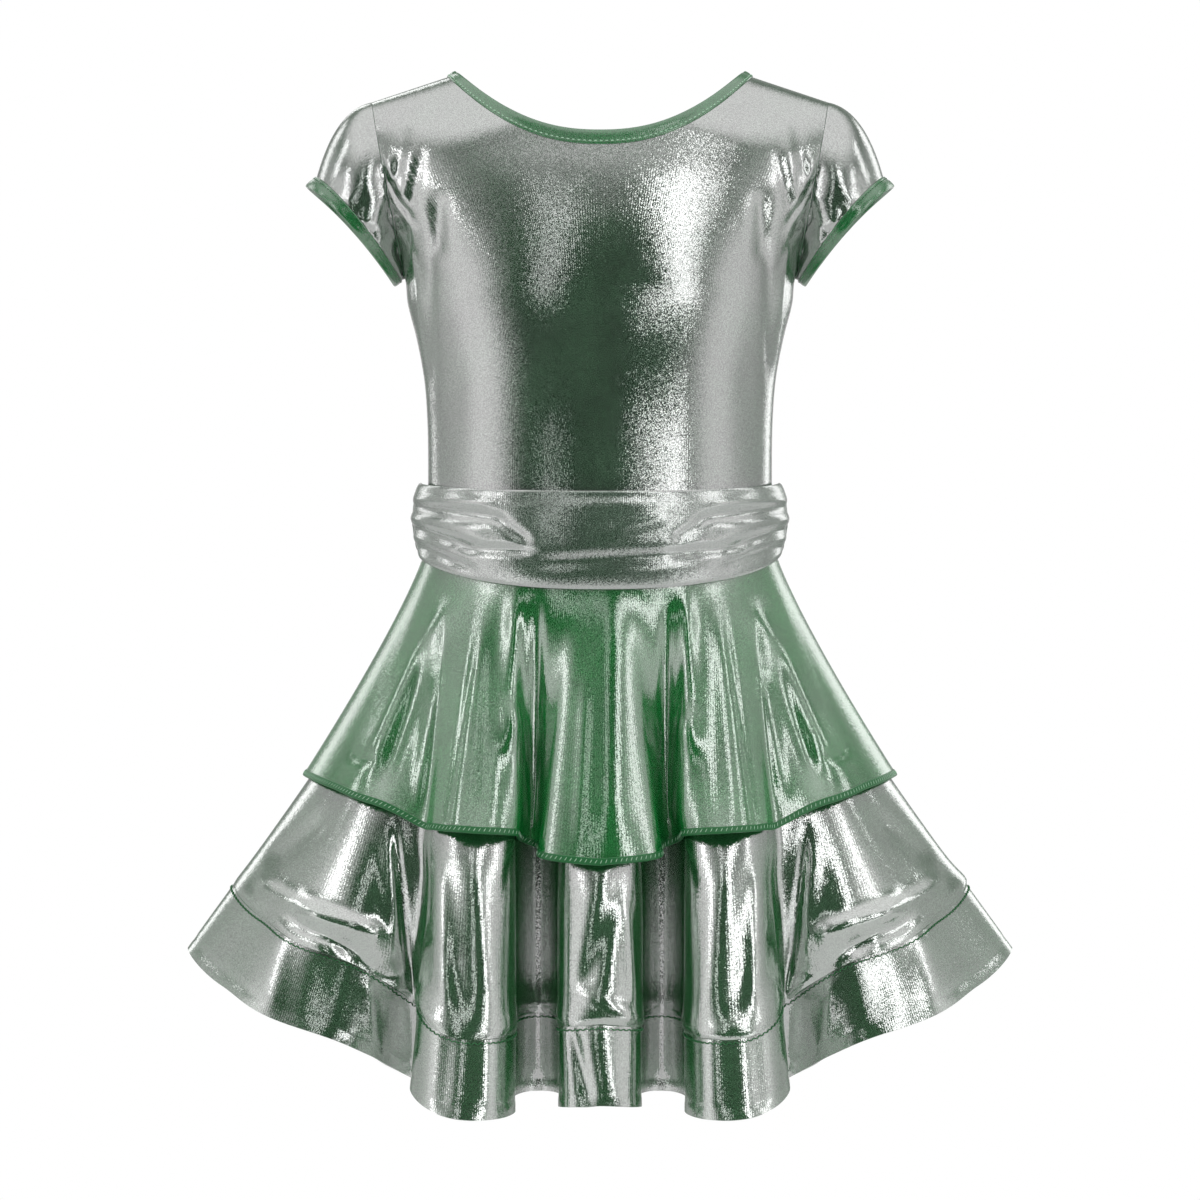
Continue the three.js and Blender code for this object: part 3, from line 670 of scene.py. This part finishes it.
def belt_points(face):
    column = with_seam_columns(np.arange(-BELT_QUARTER, BELT_QUARTER + 1.0))
    share = np.abs(column) / BELT_QUARTER
    angle = np.sign(column) * crowded(share, "belt") * math.pi / 2
    down = np.linspace(0, 1, BELT_ROWS + 1)[:, None]
    drop = BELT["front_drop"] if face == FRONT else BELT["back_drop"]
    top = BELT["top"] - drop * np.cos(angle)
    z = top + (waist_height(angle, face) + BELT["past_waist"] - top) * down
    points = on_body(angle, z, face)
    if face == BACK:
        points, angle = points[:, ::-1], angle[::-1]
    from_seam = (math.pi / 2 - np.abs(angle)) * BELT_SWELL["radius"]
    seam = np.exp(-((from_seam / BELT_SWELL["seam_reach"]) ** 2))
    swell = (BELT_SWELL["middle"] + BELT_SWELL["seam"] * seam) * np.sin(math.pi * down) ** 0.5
    return points, BELT["off_body"] + swell


def make_belt(name, face):
    points, lift = belt_points(face)
    normals = grid_normals(points, False)
    points = creased(points + normals * lift[..., None], normals, face, BELT_CREASES)
    points = seamed(points, from_edge(points, 1, 0), from_edge(points, 1, 1), sink=0.5, reach=1.6)
    return cut_piece(name, points, belt_foil, WALL["belt"])


belt_front = make_belt("belt_front_cloth", FRONT)
belt_back = make_belt("belt_back_cloth", BACK)
print("Belt:", len(belt_front.data.polygons), "faces a panel")

# %% [markdown]
# ## Skirt tiers
# Both tiers are cut from circles, so they are smooth at the waist and fall into folds at the hem. The
# tables give every crest, flank and valley of the right half at three levels: the flounce's edge, the
# skirt halfway down, and its hem. A curve through each table, with the way the cloth runs at every
# row, gives rounded folds. Each column then runs from the waist through its place on those curves.

# %% Fold tables
HEM_FOLDS = np.array([  # x, y, z, heading in degrees from +X, how far the roundness reaches
    (0, -136, -576.5, 0, 16), (22, -111, -578, 103, 19), (34.5, -61, -575, 0, 16),
    (47, -112, -580, -103, 19), (76, -149, -582.5, 3, 20), (104, -112, -567, 96, 18),
    (104, -66, -568, 5, 10), (164, -90, -538.5, 18, 34), (212, -56, -516.5, 55, 24),
    (234, -8, -498, 92, 20), (196, 48, -516, 118, 26), (156, 120, -546, 146, 38),
    (100, 80, -560, 172, 30), (54, 142, -570, 180, 40), (0, 84, -571, 180, 30),
])
HALFWAY_FOLDS = np.array([
    (0, -111, 0, 0, 15), (23, -92, 0, 90, 8), (34.5, -74, 0, 0, 7), (46.5, -93, 0, -90, 8),
    (69, -110, 0, 3, 14), (91, -95, 0, 55, 8), (101, -82, 0, 20, 6), (127, -72, 0, 28, 14),
    (145, -46, 0, 55, 12), (155, -6, 0, 91, 14), (140, 38, 0, 118, 14), (110, 85, 0, 146, 22),
    (76, 78, 0, 172, 18), (41, 104, 0, 180, 20), (0, 81, 0, 180, 18),
])
FLOUNCE_FOLDS = np.array([
    (0, -121, -446, 0, 20), (34.5, -106, -441, 98, 10), (39.5, -86, -436, 0, 5),
    (45, -105, -431, -92, 9), (68, -120, -428, 4, 14), (91, -106, -427, 50, 8),
    (99, -95, -426, 28, 6), (128, -84, -413, 28, 15), (152, -56, -405, 55, 13),
    (168.5, -8, -400, 92, 16), (154, 44, -408, 118, 16), (123, 98, -425, 146, 24),
    (82, 92, -434, 172, 20), (43, 120, -440, 180, 24), (0, 96, -441, 180, 20),
])
SIDE, BACK_MIDDLE = 9, 14  # the rows at the side seam and at the middle of the back
FOLD_STEPS = 20


def fold_curve(folds):
    """Points once along a table of folds, rounded from row to row."""
    place = folds[:, :2]
    heading = np.radians(folds[:, 3])
    handle = np.stack([np.cos(heading), np.sin(heading)], axis=-1) * folds[:, 4:]
    points = [place[:1]]
    t = (np.arange(1, FOLD_STEPS + 1) / FOLD_STEPS)[:, None]
    for i in range(len(folds) - 1):
        a, b = place[i] + handle[i], place[i + 1] - handle[i + 1]
        bend = a * 3 * t * (1 - t) ** 2 + b * 3 * t * t * (1 - t)
        points.append(place[i] * (1 - t) ** 3 + bend + place[i + 1] * t**3)
    flat = np.concatenate(points)
    rows = np.linspace(0, len(folds) - 1, len(flat))
    z = through(np.arange(len(folds)), folds[:, 2], rows)
    return np.concatenate([flat, z[:, None]], axis=1)


def all_round(half):
    """A right half from the middle front to the middle back, completed: from the left side seam across
    the front, then back across the back."""
    left = half * (-1, 1, 1)
    side = SIDE * FOLD_STEPS
    front = np.concatenate([left[: side + 1][::-1], half[1 : side + 1]])
    back = np.concatenate([half[side + 1 :], left[side + 1 : -1][::-1]])
    return np.concatenate([front, back])


def waist_points():
    """Where each column leaves the waist seam: its share of the hem on its own side gives the angle."""
    hem = fold_curve(HEM_FOLDS)
    passed = passed_along(hem)
    side = SIDE * FOLD_STEPS
    place = np.arange(len(hem))
    start = np.where(place <= side, 0, passed[-1])
    angle = (passed - start) / (passed[side] - start) * math.pi / 2
    face = np.where(place <= side, FRONT, BACK)
    return on_body(angle, waist_height(angle, face), face)


waist_half = waist_points()
WAIST_RING, HEM_RING = all_round(waist_half), all_round(fold_curve(HEM_FOLDS))
HALF_RING, FLOUNCE_RING = all_round(fold_curve(HALFWAY_FOLDS)), all_round(fold_curve(FLOUNCE_FOLDS))
HALF_RING[:, 2] = (WAIST_RING[:, 2] + HEM_RING[:, 2]) / 2
SPLIT = 2 * SIDE * FOLD_STEPS
FOLD_PLACE = np.concatenate([np.arange(-SIDE * FOLD_STEPS, SIDE * FOLD_STEPS + 1),
                             np.arange(SIDE * FOLD_STEPS + 1, BACK_MIDDLE * FOLD_STEPS),
                             np.arange(-BACK_MIDDLE * FOLD_STEPS, -SIDE * FOLD_STEPS)]) / FOLD_STEPS
print(f"Hem: {passed_along(HEM_RING)[-1]:.0f} mm round, {len(HEM_RING)} columns")

# %% [markdown]
# ## Skirt, flounce and hem band
# A column of the skirt flares out from the waist, and a smooth curve through its three places keeps
# the foil free of kinks. The hem band is doubled and stiff, so the softer cloth above it sags over the
# stitching in a lip. Bulges and dents on the folds are placed by fold and by share of the way down:
# 0 is the middle of the front, 9 the side seam and 14 the middle of the back, and the left is negative.

# %% Tier helpers
HEM_DEPTH = 44
FLARE = {"waist": 1.5, "halfway": 1.17, "hem": 2}  # how steeply the cloth runs out at three levels


def skirt_at(down):
    """The skirt's columns at a share of the way down, where down may differ from column to column."""
    t = np.asarray(down, float)[..., None]
    upper, lower = HALF_RING - WAIST_RING, HEM_RING - HALF_RING
    middle = upper * FLARE["halfway"] + lower
    first = 2 * t * (t < 0.5)
    second = (2 * t - 1) * (t >= 0.5)
    above = eased(first, WAIST_RING, HALF_RING, upper * FLARE["waist"], middle, 0.5)
    below = eased(second, HALF_RING, HEM_RING, middle, lower * FLARE["hem"], 0.5)
    points = np.where(t < 0.5, above, below)
    points[..., 2] = (WAIST_RING + (HEM_RING - WAIST_RING) * t)[..., 2]
    return points


BAND_TOP = 1 - HEM_DEPTH / (2 * np.linalg.norm(HEM_RING - HALF_RING, axis=1))
print(f"The hem band begins at {BAND_TOP.min():.3f} to {BAND_TOP.max():.3f} of the way down")


def bulged(points, down, table):
    """Points moved out by soft bulges: fold, share down, half width in folds, half height, depth, turn."""
    lift = np.zeros(points.shape[:2])
    for fold, at, wide, high, depth, turn in table:
        away = np.where(FOLD_PLACE == fold, 1, FOLD_PLACE - fold)
        across = np.abs(FOLD_PLACE - fold)
        across = np.minimum(across, 2 * BACK_MIDDLE - across) * np.sign(away)
        u = across / wide
        v = (down - at) / high
        c, s = math.cos(math.radians(turn)), math.sin(math.radians(turn))
        lift += depth * np.exp(-((c * u + s * v) ** 2) - (c * v - s * u) ** 2)
    return moved_out(points, lift)


ROUND_FACE = np.where(np.abs(FOLD_PLACE) <= SIDE, FRONT, BACK)
SKIRT_ROWS = 96
SKIRT_BULGES = [
    (-6.5, 0.93, 0.6, 0.22, 6.0, 0), (6.5, 0.93, 0.6, 0.22, 5.6, 0), (-12.6, 0.7, 0.9, 0.12, 2.0, 0),
    (11.4, 0.72, 0.8, 0.1, 1.8, 0), (-10.4, 0.78, 0.7, 0.08, -1.6, 0), (13.2, 0.62, 0.7, 0.1, -1.4, 0),
]
SKIRT_CREASES = {  # from x, z, to x, z, width, depth and, where it has one, its lean
    FRONT: [
        (-190, -461, -150, -478, 5.5, 3.0, 0.8), (-162, -473, -118, -486, 6.5, 3.6, 1.0),
        (-174, -480, -134, -494, 5.0, -2.6), (-148, -490, -112, -514, 6.5, -5.0),
        (-186, -450, -152, -424, 6.0, -1.4, 0.5), (-114, -430, -105, -514, 2.2, -2.2, 0.7),
        (-118, -436, -113, -500, 4.0, 1.8), (-99, -440, -96, -512, 3.4, -1.4, 0.5),
        (-88, -446, -84, -520, 4.2, 1.6), (-70, -440, -58, -530, 9.0, 2.2, 0.3),
        (-98, -486, -104, -528, 3.2, 1.2), (-84, -490, -74, -530, 6.0, -1.0, 0.2),
        (4, -452, 2, -528, 12.0, 2.6), (11, -448, -9, -514, 6.0, -1.8, 0.3), (14, -470, 18, -520, 3.4, 1.2),
        (-12, -516, 18, -528, 4.0, 1.3), (190, -460, 152, -477, 5.5, 2.9, -0.8),
        (163, -472, 119, -485, 6.5, 3.5, -1.0), (173, -479, 135, -493, 5.0, -2.5),
        (149, -489, 113, -513, 6.5, -4.8), (185, -449, 154, -422, 6.0, -1.3, -0.5),
        (114, -432, 105, -512, 2.2, -2.1, -0.7), (119, -440, 113, -504, 4.0, 1.7),
        (98, -444, 95, -510, 3.4, -1.4, -0.5), (86, -448, 84, -518, 4.2, 1.5),
        (68, -442, 58, -526, 9.0, 2.2, -0.3), (84, -492, 74, -530, 6.0, -1.0, -0.2),
    ],
    BACK: [
        (-186, -470, -138, -498, 6.0, 2.2, 0.7), (-168, -486, -130, -512, 6.0, -2.2),
        (-112, -420, -96, -520, 4.5, 1.6, 0.6), (-70, -430, -76, -524, 5.0, -1.6, 0.5),
        (-40, -440, -32, -530, 5.0, 1.4, 0.4), (4, -410, -6, -510, 4.6, -1.3, 0.5),
        (36, -446, 48, -532, 5.0, 1.5, -0.5), (78, -420, 70, -516, 4.8, -1.6, -0.4),
        (110, -430, 124, -510, 5.0, 1.5, -0.5), (182, -472, 136, -502, 6.0, 2.1, -0.7),
    ],
}
skirt_down = np.linspace(0, 1, SKIRT_ROWS + 1)[:, None] * BAND_TOP
skirt_points = bulged(skirt_at(skirt_down), skirt_down, SKIRT_BULGES)
skirt_points = creased(skirt_points, grid_normals(skirt_points, True), ROUND_FACE, SKIRT_CREASES)
above_seam = (BAND_TOP - skirt_down) * 2 * np.linalg.norm(HEM_RING - HALF_RING, axis=1)
LIP = {"hang": 1.2, "height": 4}  # the lip over the hem band's seam, which hangs a little unevenly
droop = LIP["hang"] + 0.5 * np.sin(FOLD_PLACE * 2.3 + 0.7) + 0.4 * np.sin(FOLD_PLACE * 5.1)
lip = droop * (above_seam / LIP["height"]) * np.exp(1 - above_seam / LIP["height"])
skirt_points = moved_out(skirt_points, lip)

FLOUNCE_ROWS = 84
FLOUNCE_CREASES = {
    FRONT: [
        (-86, -304, -130, -396, 7.0, 3.0), (-90, -344, -101, -414, 5.0, 1.8),
        (-96, -326, -121, -404, 4.6, -2.2), (-140, -388, -126, -392, 3.6, -1.2, 0.4),
        (-70, -322, -87, -432, 2.6, -0.7, 0.4), (-47, -302, -50, -380, 5.0, 3.0),
        (-50, -360, -41, -430, 5.0, 2.8), (-60, -318, -66, -428, 6.5, -1.3),
        (-36, -306, -36, -420, 3.4, -1.6, 0.6), (8, -300, 6, -440, 13.0, 3.4),
        (-8, -350, -12, -440, 3.4, 0.7), (38, -306, 37, -420, 3.4, -1.6, -0.6),
        (48, -303, 50, -384, 5.0, 3.0), (50, -364, 42, -428, 5.0, 2.7), (61, -320, 66, -426, 6.5, -1.3),
        (71, -314, 88, -430, 2.6, -0.7, -0.4), (86, -306, 129, -394, 7.0, 2.9),
        (91, -346, 101, -410, 5.0, 1.7), (97, -328, 120, -402, 4.6, -2.1),
        (139, -386, 126, -391, 3.6, -1.1, -0.4),
    ],
    BACK: [
        (-86, -312, -122, -400, 5.0, 1.7), (-60, -318, -74, -420, 5.0, -1.4, 0.5),
        (-34, -310, -44, -424, 5.0, 1.3), (-4, -314, 4, -420, 5.0, -1.1, 0.4),
        (28, -318, 40, -430, 5.0, 1.4), (62, -312, 70, -410, 4.6, -1.4, -0.5),
        (90, -318, 118, -404, 5.0, 1.6), (122, -350, 144, -396, 5.0, -1.2, -0.4),
    ],
}
share = np.linspace(0, 1, FLOUNCE_ROWS + 1)[:, None]
flounce_points = WAIST_RING + (FLOUNCE_RING - WAIST_RING) * (share ** FLARE["halfway"])[..., None]
flounce_points[..., 2] = (WAIST_RING + (FLOUNCE_RING - WAIST_RING) * share[..., None])[..., 2]
OVER_SKIRT = 2  # mm by which the flounce starts outside the skirt
flounce_points = moved_out(flounce_points, OVER_SKIRT * (1 - share))
flounce_points = creased(flounce_points, grid_normals(flounce_points, True), ROUND_FACE, FLOUNCE_CREASES)

BAND_CREASES = {
    FRONT: [
        (-176, -482, -184, -530, 7.0, 1.4), (-150, -496, -156, -540, 8.0, -1.4),
        (-128, -512, -122, -556, 3.6, 1.4, 0.5), (-112, -518, -118, -560, 4.0, -1.3, 0.4),
        (-60, -534, -60, -580, 7.0, 1.8), (-82, -534, -86, -580, 5.0, -1.0),
        (-17, -532, -6, -578, 4.0, -1.8, 0.4), (-2, -532, 6, -578, 9.0, 2.4),
        (178, -482, 186, -530, 7.0, 1.4), (151, -496, 158, -540, 8.0, -1.3),
        (128, -510, 121, -556, 3.6, 1.4, -0.5), (112, -518, 117, -560, 4.0, -1.3, -0.4),
        (60, -534, 60, -580, 7.0, 1.8), (84, -534, 88, -580, 5.0, -1.0),
    ],
    BACK: [
        (-150, -500, -160, -546, 8.0, 1.4), (-84, -520, -78, -566, 7.0, -1.3, 0.4),
        (-20, -530, -12, -572, 6.0, 1.1), (44, -530, 50, -572, 7.0, -1.2, 0.4),
        (98, -520, 90, -566, 6.0, 1.2), (160, -500, 170, -540, 8.0, -1.3),
    ],
}
BAND_ROWS = 22
band_down = BAND_TOP + np.linspace(0, 1, BAND_ROWS + 1)[:, None] * (1 - BAND_TOP)
band_points = skirt_at(band_down)
band_points = creased(band_points, grid_normals(band_points, True), ROUND_FACE, BAND_CREASES)
GROOVE = {"up": 7, "reach": 1.6, "depth": 0.3}  # a faint line where the stiffener ends above the hem
from_line = (from_edge(band_points, 0, 1) - GROOVE["up"]) / GROOVE["reach"]
band_points = moved_out(band_points, -GROOVE["depth"] * np.exp(-(from_line**2)))


def tier_panels(name, points, material):
    """The tier's front and back pieces, which meet at the side seams."""
    back = np.concatenate([points[:, SPLIT:], points[:, :1]], axis=1)
    pieces = []
    for side, part in (("front", points[:, : SPLIT + 1]), ("back", back)):
        top, edge = passed_along(part[0])[-1], passed_along(part[-1])[-1]
        deep = from_edge(part, 0, 0)[-1].mean()
        print(f"{name} {side}: {top:.0f} mm along the top, {edge:.0f} mm along its edge, {deep:.0f} mm deep")
        part = seamed(part, from_edge(part, 1, 0), from_edge(part, 1, 1), reach=1.6)
        pieces.append(cut_piece(f"{name}_{side}_cloth", part, material, WALL[name]))
    return pieces


skirt_front, skirt_back = tier_panels("skirt", skirt_points, skirt_foil)
flounce_front, flounce_back = tier_panels("flounce", flounce_points, green_foil)
hem_band_front, hem_band_back = tier_panels("hem_band", band_points, skirt_foil)
print("Skirt panels:", len(skirt_front.data.polygons), "and", len(skirt_back.data.polygons), "faces")

# %% [markdown]
# ## Sewing
# Close up, the sewing is what tells a real garment from a shell. A stitch is a small stretched ball of
# twenty faces, laid along a seam at an even pitch. A straight seam lays them end to end, and a zigzag
# leans every other one the other way. The flounce's raw edge is overlocked: a cord of thread wraps it,
# with small slanting loops over the cord. The neck stitches and these loops are pale: a painted
# highlight on green thread.

# %% Stitches
def resampled(path, pitch, closed):
    """Even steps along a path, as positions in its own index."""
    whole = np.concatenate([path, path[:1]]) if closed else path
    passed = passed_along(whole)
    count = int(passed[-1] / pitch)
    at = (np.arange(count) + 0.5) * passed[-1] / count
    return np.interp(at, passed, np.arange(len(whole)))


def sampled(values, at):
    """Values between the corners of a path."""
    low = np.floor(at).astype(int)
    t = (at - low)[:, None]
    return values[low % len(values)] * (1 - t) + values[(low + 1) % len(values)] * t


def sew(name, path, out, material, pitch, length, thick, lean=0.0, zigzag=False, closed=True, raised=0.0):
    """A row of stitches on a path. out points away from the cloth, and lean tilts each stitch."""
    at = resampled(path, pitch, closed)
    centre, normal = sampled(path, at), sampled(out, at)
    ahead = sampled(path, at + 0.4) - sampled(path, at - 0.4)
    bm = bmesh.new()
    for i, (p, n, d) in enumerate(zip(centre, normal, ahead)):
        n = Vector(n).normalized()
        d = (Vector(d) - n * Vector(d).dot(n)).normalized()
        turn = math.radians(lean if not (zigzag and i % 2) else -lean)
        along = Matrix.Rotation(turn, 3, n) @ d
        axes = Matrix((along * length / 2, n.cross(along) * thick / 2, n * thick / 2)).transposed() * MM
        place = axes.to_4x4()
        place.translation = (Vector(p) + n * raised) * MM
        bmesh.ops.create_icosphere(bm, subdivisions=1, radius=1, matrix=place)
    mesh = bpy.data.meshes.new(name)
    bm.to_mesh(mesh)
    bm.free()
    piece = place_piece(mesh, material)
    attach(piece, "root")
    print(name + ":", len(at), "stitches")
    return piece


neck_line = neck_low + (neck_high - neck_low) * 0.2 + neck_out * 0.8
# The neck stitches' pale colour is a painted highlight on green thread.
neck_seam = sew("neck_stitches", neck_line, neck_out, highlight_painted_thread, 3.1, 2.2, 0.75)
cuff_seams = []
for name, (edge, far, out) in (("right", cuff_right_edges), ("left", cuff_left_edges)):
    cuff_line = edge + (far - edge) * 0.22 + out * 0.75
    cuff_seams.append(sew(f"cuff_stitches_{name}", cuff_line, out, green_thread, 2.6, 2.0, 0.5))

hem_out = grid_normals(band_points, True)[1]
hem_line = band_points[1] + hem_out * 0.35
hem_seam = sew("hem_zigzag", hem_line, hem_out, green_thread, 1.8, 2.4, 0.75, lean=38, zigzag=True)

flounce_out = grid_normals(flounce_points, True)[-1]
flounce_low = flounce_points[-1]
flounce_down = flounce_low - flounce_points[-3]
flounce_down /= np.linalg.norm(flounce_down, axis=-1, keepdims=True)
cord_top = flounce_low - flounce_down * 3.6 - flounce_out * 0.5
cord_foot = flounce_low + flounce_down * 0.5 - flounce_out * 0.5
overlock_cord = swept("flounce_overlock", cord_top, cord_foot, flounce_out, 1.0, 1.9, green_thread)
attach(overlock_cord, "root")
loop_line = flounce_low - flounce_down * 1.5
# The loops' pale colour is a painted glint on the green overlock thread.
overlock_loops = sew("flounce_overlock_loops", loop_line, flounce_out, highlight_painted_thread, 2.8, 2.6, 0.4, lean=62,
                     raised=0.42)

shoulder_seams = []
for name, side in (("right", 1), ("left", -1)):
    x = np.linspace(NECK["half"] + 1, ARMHOLE["top_half"] - 1, 40)
    line = on_body(angle_at(x, ridge(x)), ridge(x), FRONT) * (side, 1, 1)
    up = np.tile((0.3 * side, 0.0, 1.0), (len(line), 1))
    shoulder_seams.append(sew(f"shoulder_overlock_{name}", line, up, green_thread, 1.9, 2.6, 0.6, lean=35,
                              zigzag=True, closed=False, raised=-0.1))

# %% [markdown]
# ## What each piece stands for
# Every cloth piece takes the place of the CAD node of the same name. All of them ride on the only body
# there is.

# %% Put the pieces on the body in place of the CAD nodes
CUTS = {  # the cut in metres: width, length, area; then how it is held, by what, and the sewing on it
    bodice_front: (0.29, 0.295, 0.074, "stretched", bodice_back, [neck_seam, *shoulder_seams]),
    bodice_back: (0.29, 0.295, 0.073, "stretched", bodice_front, []),
    sleeve_right: (0.22, 0.06, 0.0075, "stretched", bodice_front, []),
    sleeve_left: (0.22, 0.06, 0.0075, "stretched", bodice_front, []),
    neck_binding: (0.52, 0.01, None, "folded", bodice_front, []),
    cuff_right: (0.26, 0.01, None, "folded", sleeve_right, [cuff_seams[0]]),
    cuff_left: (0.26, 0.01, None, "folded", sleeve_left, [cuff_seams[1]]),
    belt_front: (0.29, 0.066, None, "gathered", bodice_front, []),
    belt_back: (0.285, 0.063, None, "gathered", bodice_back, []),
    flounce_front: (0.49, 0.211, 0.062, "hung", bodice_front, [overlock_cord, overlock_loops]),
    flounce_back: (0.478, 0.207, 0.062, "hung", bodice_back, []),
    skirt_front: (0.671, 0.316, 0.128, "hung", bodice_front, [hem_seam]),
    skirt_back: (0.616, 0.294, 0.112, "hung", bodice_back, []),
    hem_band_front: (0.94, 0.044, None, "hung", skirt_front, []),
    hem_band_back: (0.77, 0.044, None, "hung", skirt_back, []),
}
for piece, (width, length, area, held, holder, sewing) in CUTS.items():
    node = piece.name.removesuffix("_cloth")
    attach(piece, "root")
    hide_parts(node)

# %% [markdown]
# ## Studio
# Foil shows its surroundings, so the light is a set of soft panels round the dress. A tall one at the
# front right leans and gives the long highlight on the bodice, a thin one at the front left gives the
# strip there, and the wide ones at the sides give the silver. The room's walls are light beside the
# camera and dark behind it, which lets the green of the middle through.

# %% Floor, lights and camera
FLOOR = {"drop": 1.02, "radius": 2.2, "corners": 96}
PANELS = [  # name, degrees right of the camera and up, distance, width, height, brightness, and for two
    # of them the degrees by which they lean
    ("key", 26, 22, 2.3, 0.36, 2.3, 3.2, 20), ("low_right", 20, 3.6, 2.3, 0.54, 0.16, 3.0),
    ("left_strip", -14, 23, 2.4, 0.17, 1.9, 1.8, -14), ("left_low", -54, 21, 2.3, 0.5, 0.36, 2.6),
    ("right_low", 55, 22, 2.3, 0.5, 0.36, 2.2), ("floor_left", -38, -17, 2.3, 1.0, 0.3, 1.6),
    ("floor_right", 40, -17, 2.3, 1.0, 0.3, 1.6), ("left_front", -58, 34, 2.3, 0.42, 0.4, 3.2),
    ("right_front", 60, 34, 2.3, 0.42, 0.4, 3.0), ("left_side", -96, 38, 2.3, 0.4, 1.1, 2.4),
    ("right_side", 98, 36, 2.3, 0.4, 1.0, 2.4), ("left_back", -138, 20, 2.3, 0.5, 1.5, 1.8),
    ("right_back", 143, 16, 2.3, 0.7, 1.4, 1.9), ("back", 196, 30, 2.4, 0.35, 1.0, 2.2),
]
AIM = Vector((0, 0, -0.3))  # the middle of the dress
WALL_TONES = [  # how far the wall lies towards the back, from -1 to 1, and how light it is there
    (-0.82, 0.0), (-0.6, 0.95), (-0.35, 1.0), (-0.05, 0.66), (0.45, 0.46), (0.75, 0.5), (0.95, 0.25),
]


def soft_panel(name, azimuth, elevation, distance, wide, tall, brightness, lean=0):
    """A soft light that faces the dress and that the camera doesn't see."""
    light = bpy.data.lights.new(name, "AREA")
    light.shape, light.size, light.size_y = "RECTANGLE", wide, tall
    light.energy = brightness * math.pi * wide * tall
    lamp = bpy.data.objects.new(name, light)
    turn, up = math.radians(azimuth), math.radians(elevation)
    lamp.location = AIM + distance * Vector((math.sin(turn), -math.cos(turn), math.tan(up)))
    leant = Matrix.Rotation(math.radians(lean), 3, "Z").to_quaternion()
    lamp.rotation_euler = ((AIM - lamp.location).to_track_quat("-Z", "Y") @ leant).to_euler()
    lamp.visible_camera = False
    bpy.context.collection.objects.link(lamp)


bm = bmesh.new()
bmesh.ops.create_circle(bm, cap_ends=True, segments=FLOOR["corners"], radius=FLOOR["radius"])
bmesh.ops.translate(bm, verts=bm.verts, vec=(0, 0, -FLOOR["drop"]))
floor_mesh = bpy.data.meshes.new("floor")
bm.to_mesh(floor_mesh)
bm.free()
floor_finish, *_ = new_material("floor_paint", (0.85, 0.85, 0.85), 0.7, 1.45)
floor = place_piece(floor_mesh, floor_finish, smooth=False)

for panel in PANELS:
    soft_panel(*panel)

world = bpy.data.worlds.new("studio")
bpy.context.scene.world = world
world.use_nodes = True
nodes, links = world.node_tree.nodes, world.node_tree.links
nodes.clear()
seen, around = nodes.new("ShaderNodeBackground"), nodes.new("ShaderNodeBackground")
seen.inputs["Color"].default_value = (1, 1, 1, 1)
seen.inputs["Strength"].default_value = 1.0
ray, choose = nodes.new("ShaderNodeLightPath"), nodes.new("ShaderNodeMixShader")
out = nodes.new("ShaderNodeOutputWorld")
direction = nodes.new("ShaderNodeSeparateXYZ")
links.new(nodes.new("ShaderNodeTexCoord").outputs["Generated"], direction.inputs["Vector"])
across, to_back, up = (direction.outputs[axis] for axis in "XYZ")


def combine(operation, *values):
    return worked_out(nodes, links, "Math", operation, *values)


walls = nodes.new("ShaderNodeValToRGB")
links.new(spread(nodes, links, to_back, -1, 1, 0, 1), walls.inputs["Fac"])
for place, grey in WALL_TONES:
    mark = walls.color_ramp.elements.new((place + 1) / 2)
    mark.color = (grey, grey, grey, 1)
walls = combine("MULTIPLY", walls.outputs["Color"], 1.2)
walls = combine("MULTIPLY", walls, spread(nodes, links, up, 0.42, 0.66, 1, 0.1))
walls = combine("MULTIPLY", walls, spread(nodes, links, across, 0.3, 0.9, 1, 0.85))
ceiling = combine("MULTIPLY", spread(nodes, links, combine("ABSOLUTE", to_back), 0.55, 0.85, 1.25, 0.1),
                  spread(nodes, links, up, 0.52, 0.82, 0, 1))
tone = combine("ADD", combine("MAXIMUM", walls, ceiling), 0.05)
links.new(tone, around.inputs["Strength"])
around.inputs["Color"].default_value = (1, 0.96, 0.985, 1)
links.new(ray.outputs["Is Camera Ray"], choose.inputs["Fac"])
links.new(around.outputs[0], choose.inputs[1])
links.new(seen.outputs[0], choose.inputs[2])
links.new(choose.outputs[0], out.inputs["Surface"])

camera_data = bpy.data.cameras.new("camera")
camera = bpy.data.objects.new("camera", camera_data)
bpy.context.collection.objects.link(camera)
CAMERA_DISTANCE, CAMERA_HEIGHT, HALF_VIEW = 3.0, -0.301, 0.342
camera.location = (0, -CAMERA_DISTANCE, CAMERA_HEIGHT)
camera.rotation_euler = (math.pi / 2, 0, 0)
camera_data.sensor_width = 36
camera_data.lens = 18 * CAMERA_DISTANCE / HALF_VIEW
camera_data.dof.use_dof = False
bpy.context.scene.camera = camera
bpy.context.scene.view_settings.view_transform = "Standard"
print("Camera lens:", round(camera_data.lens, 1), "mm")
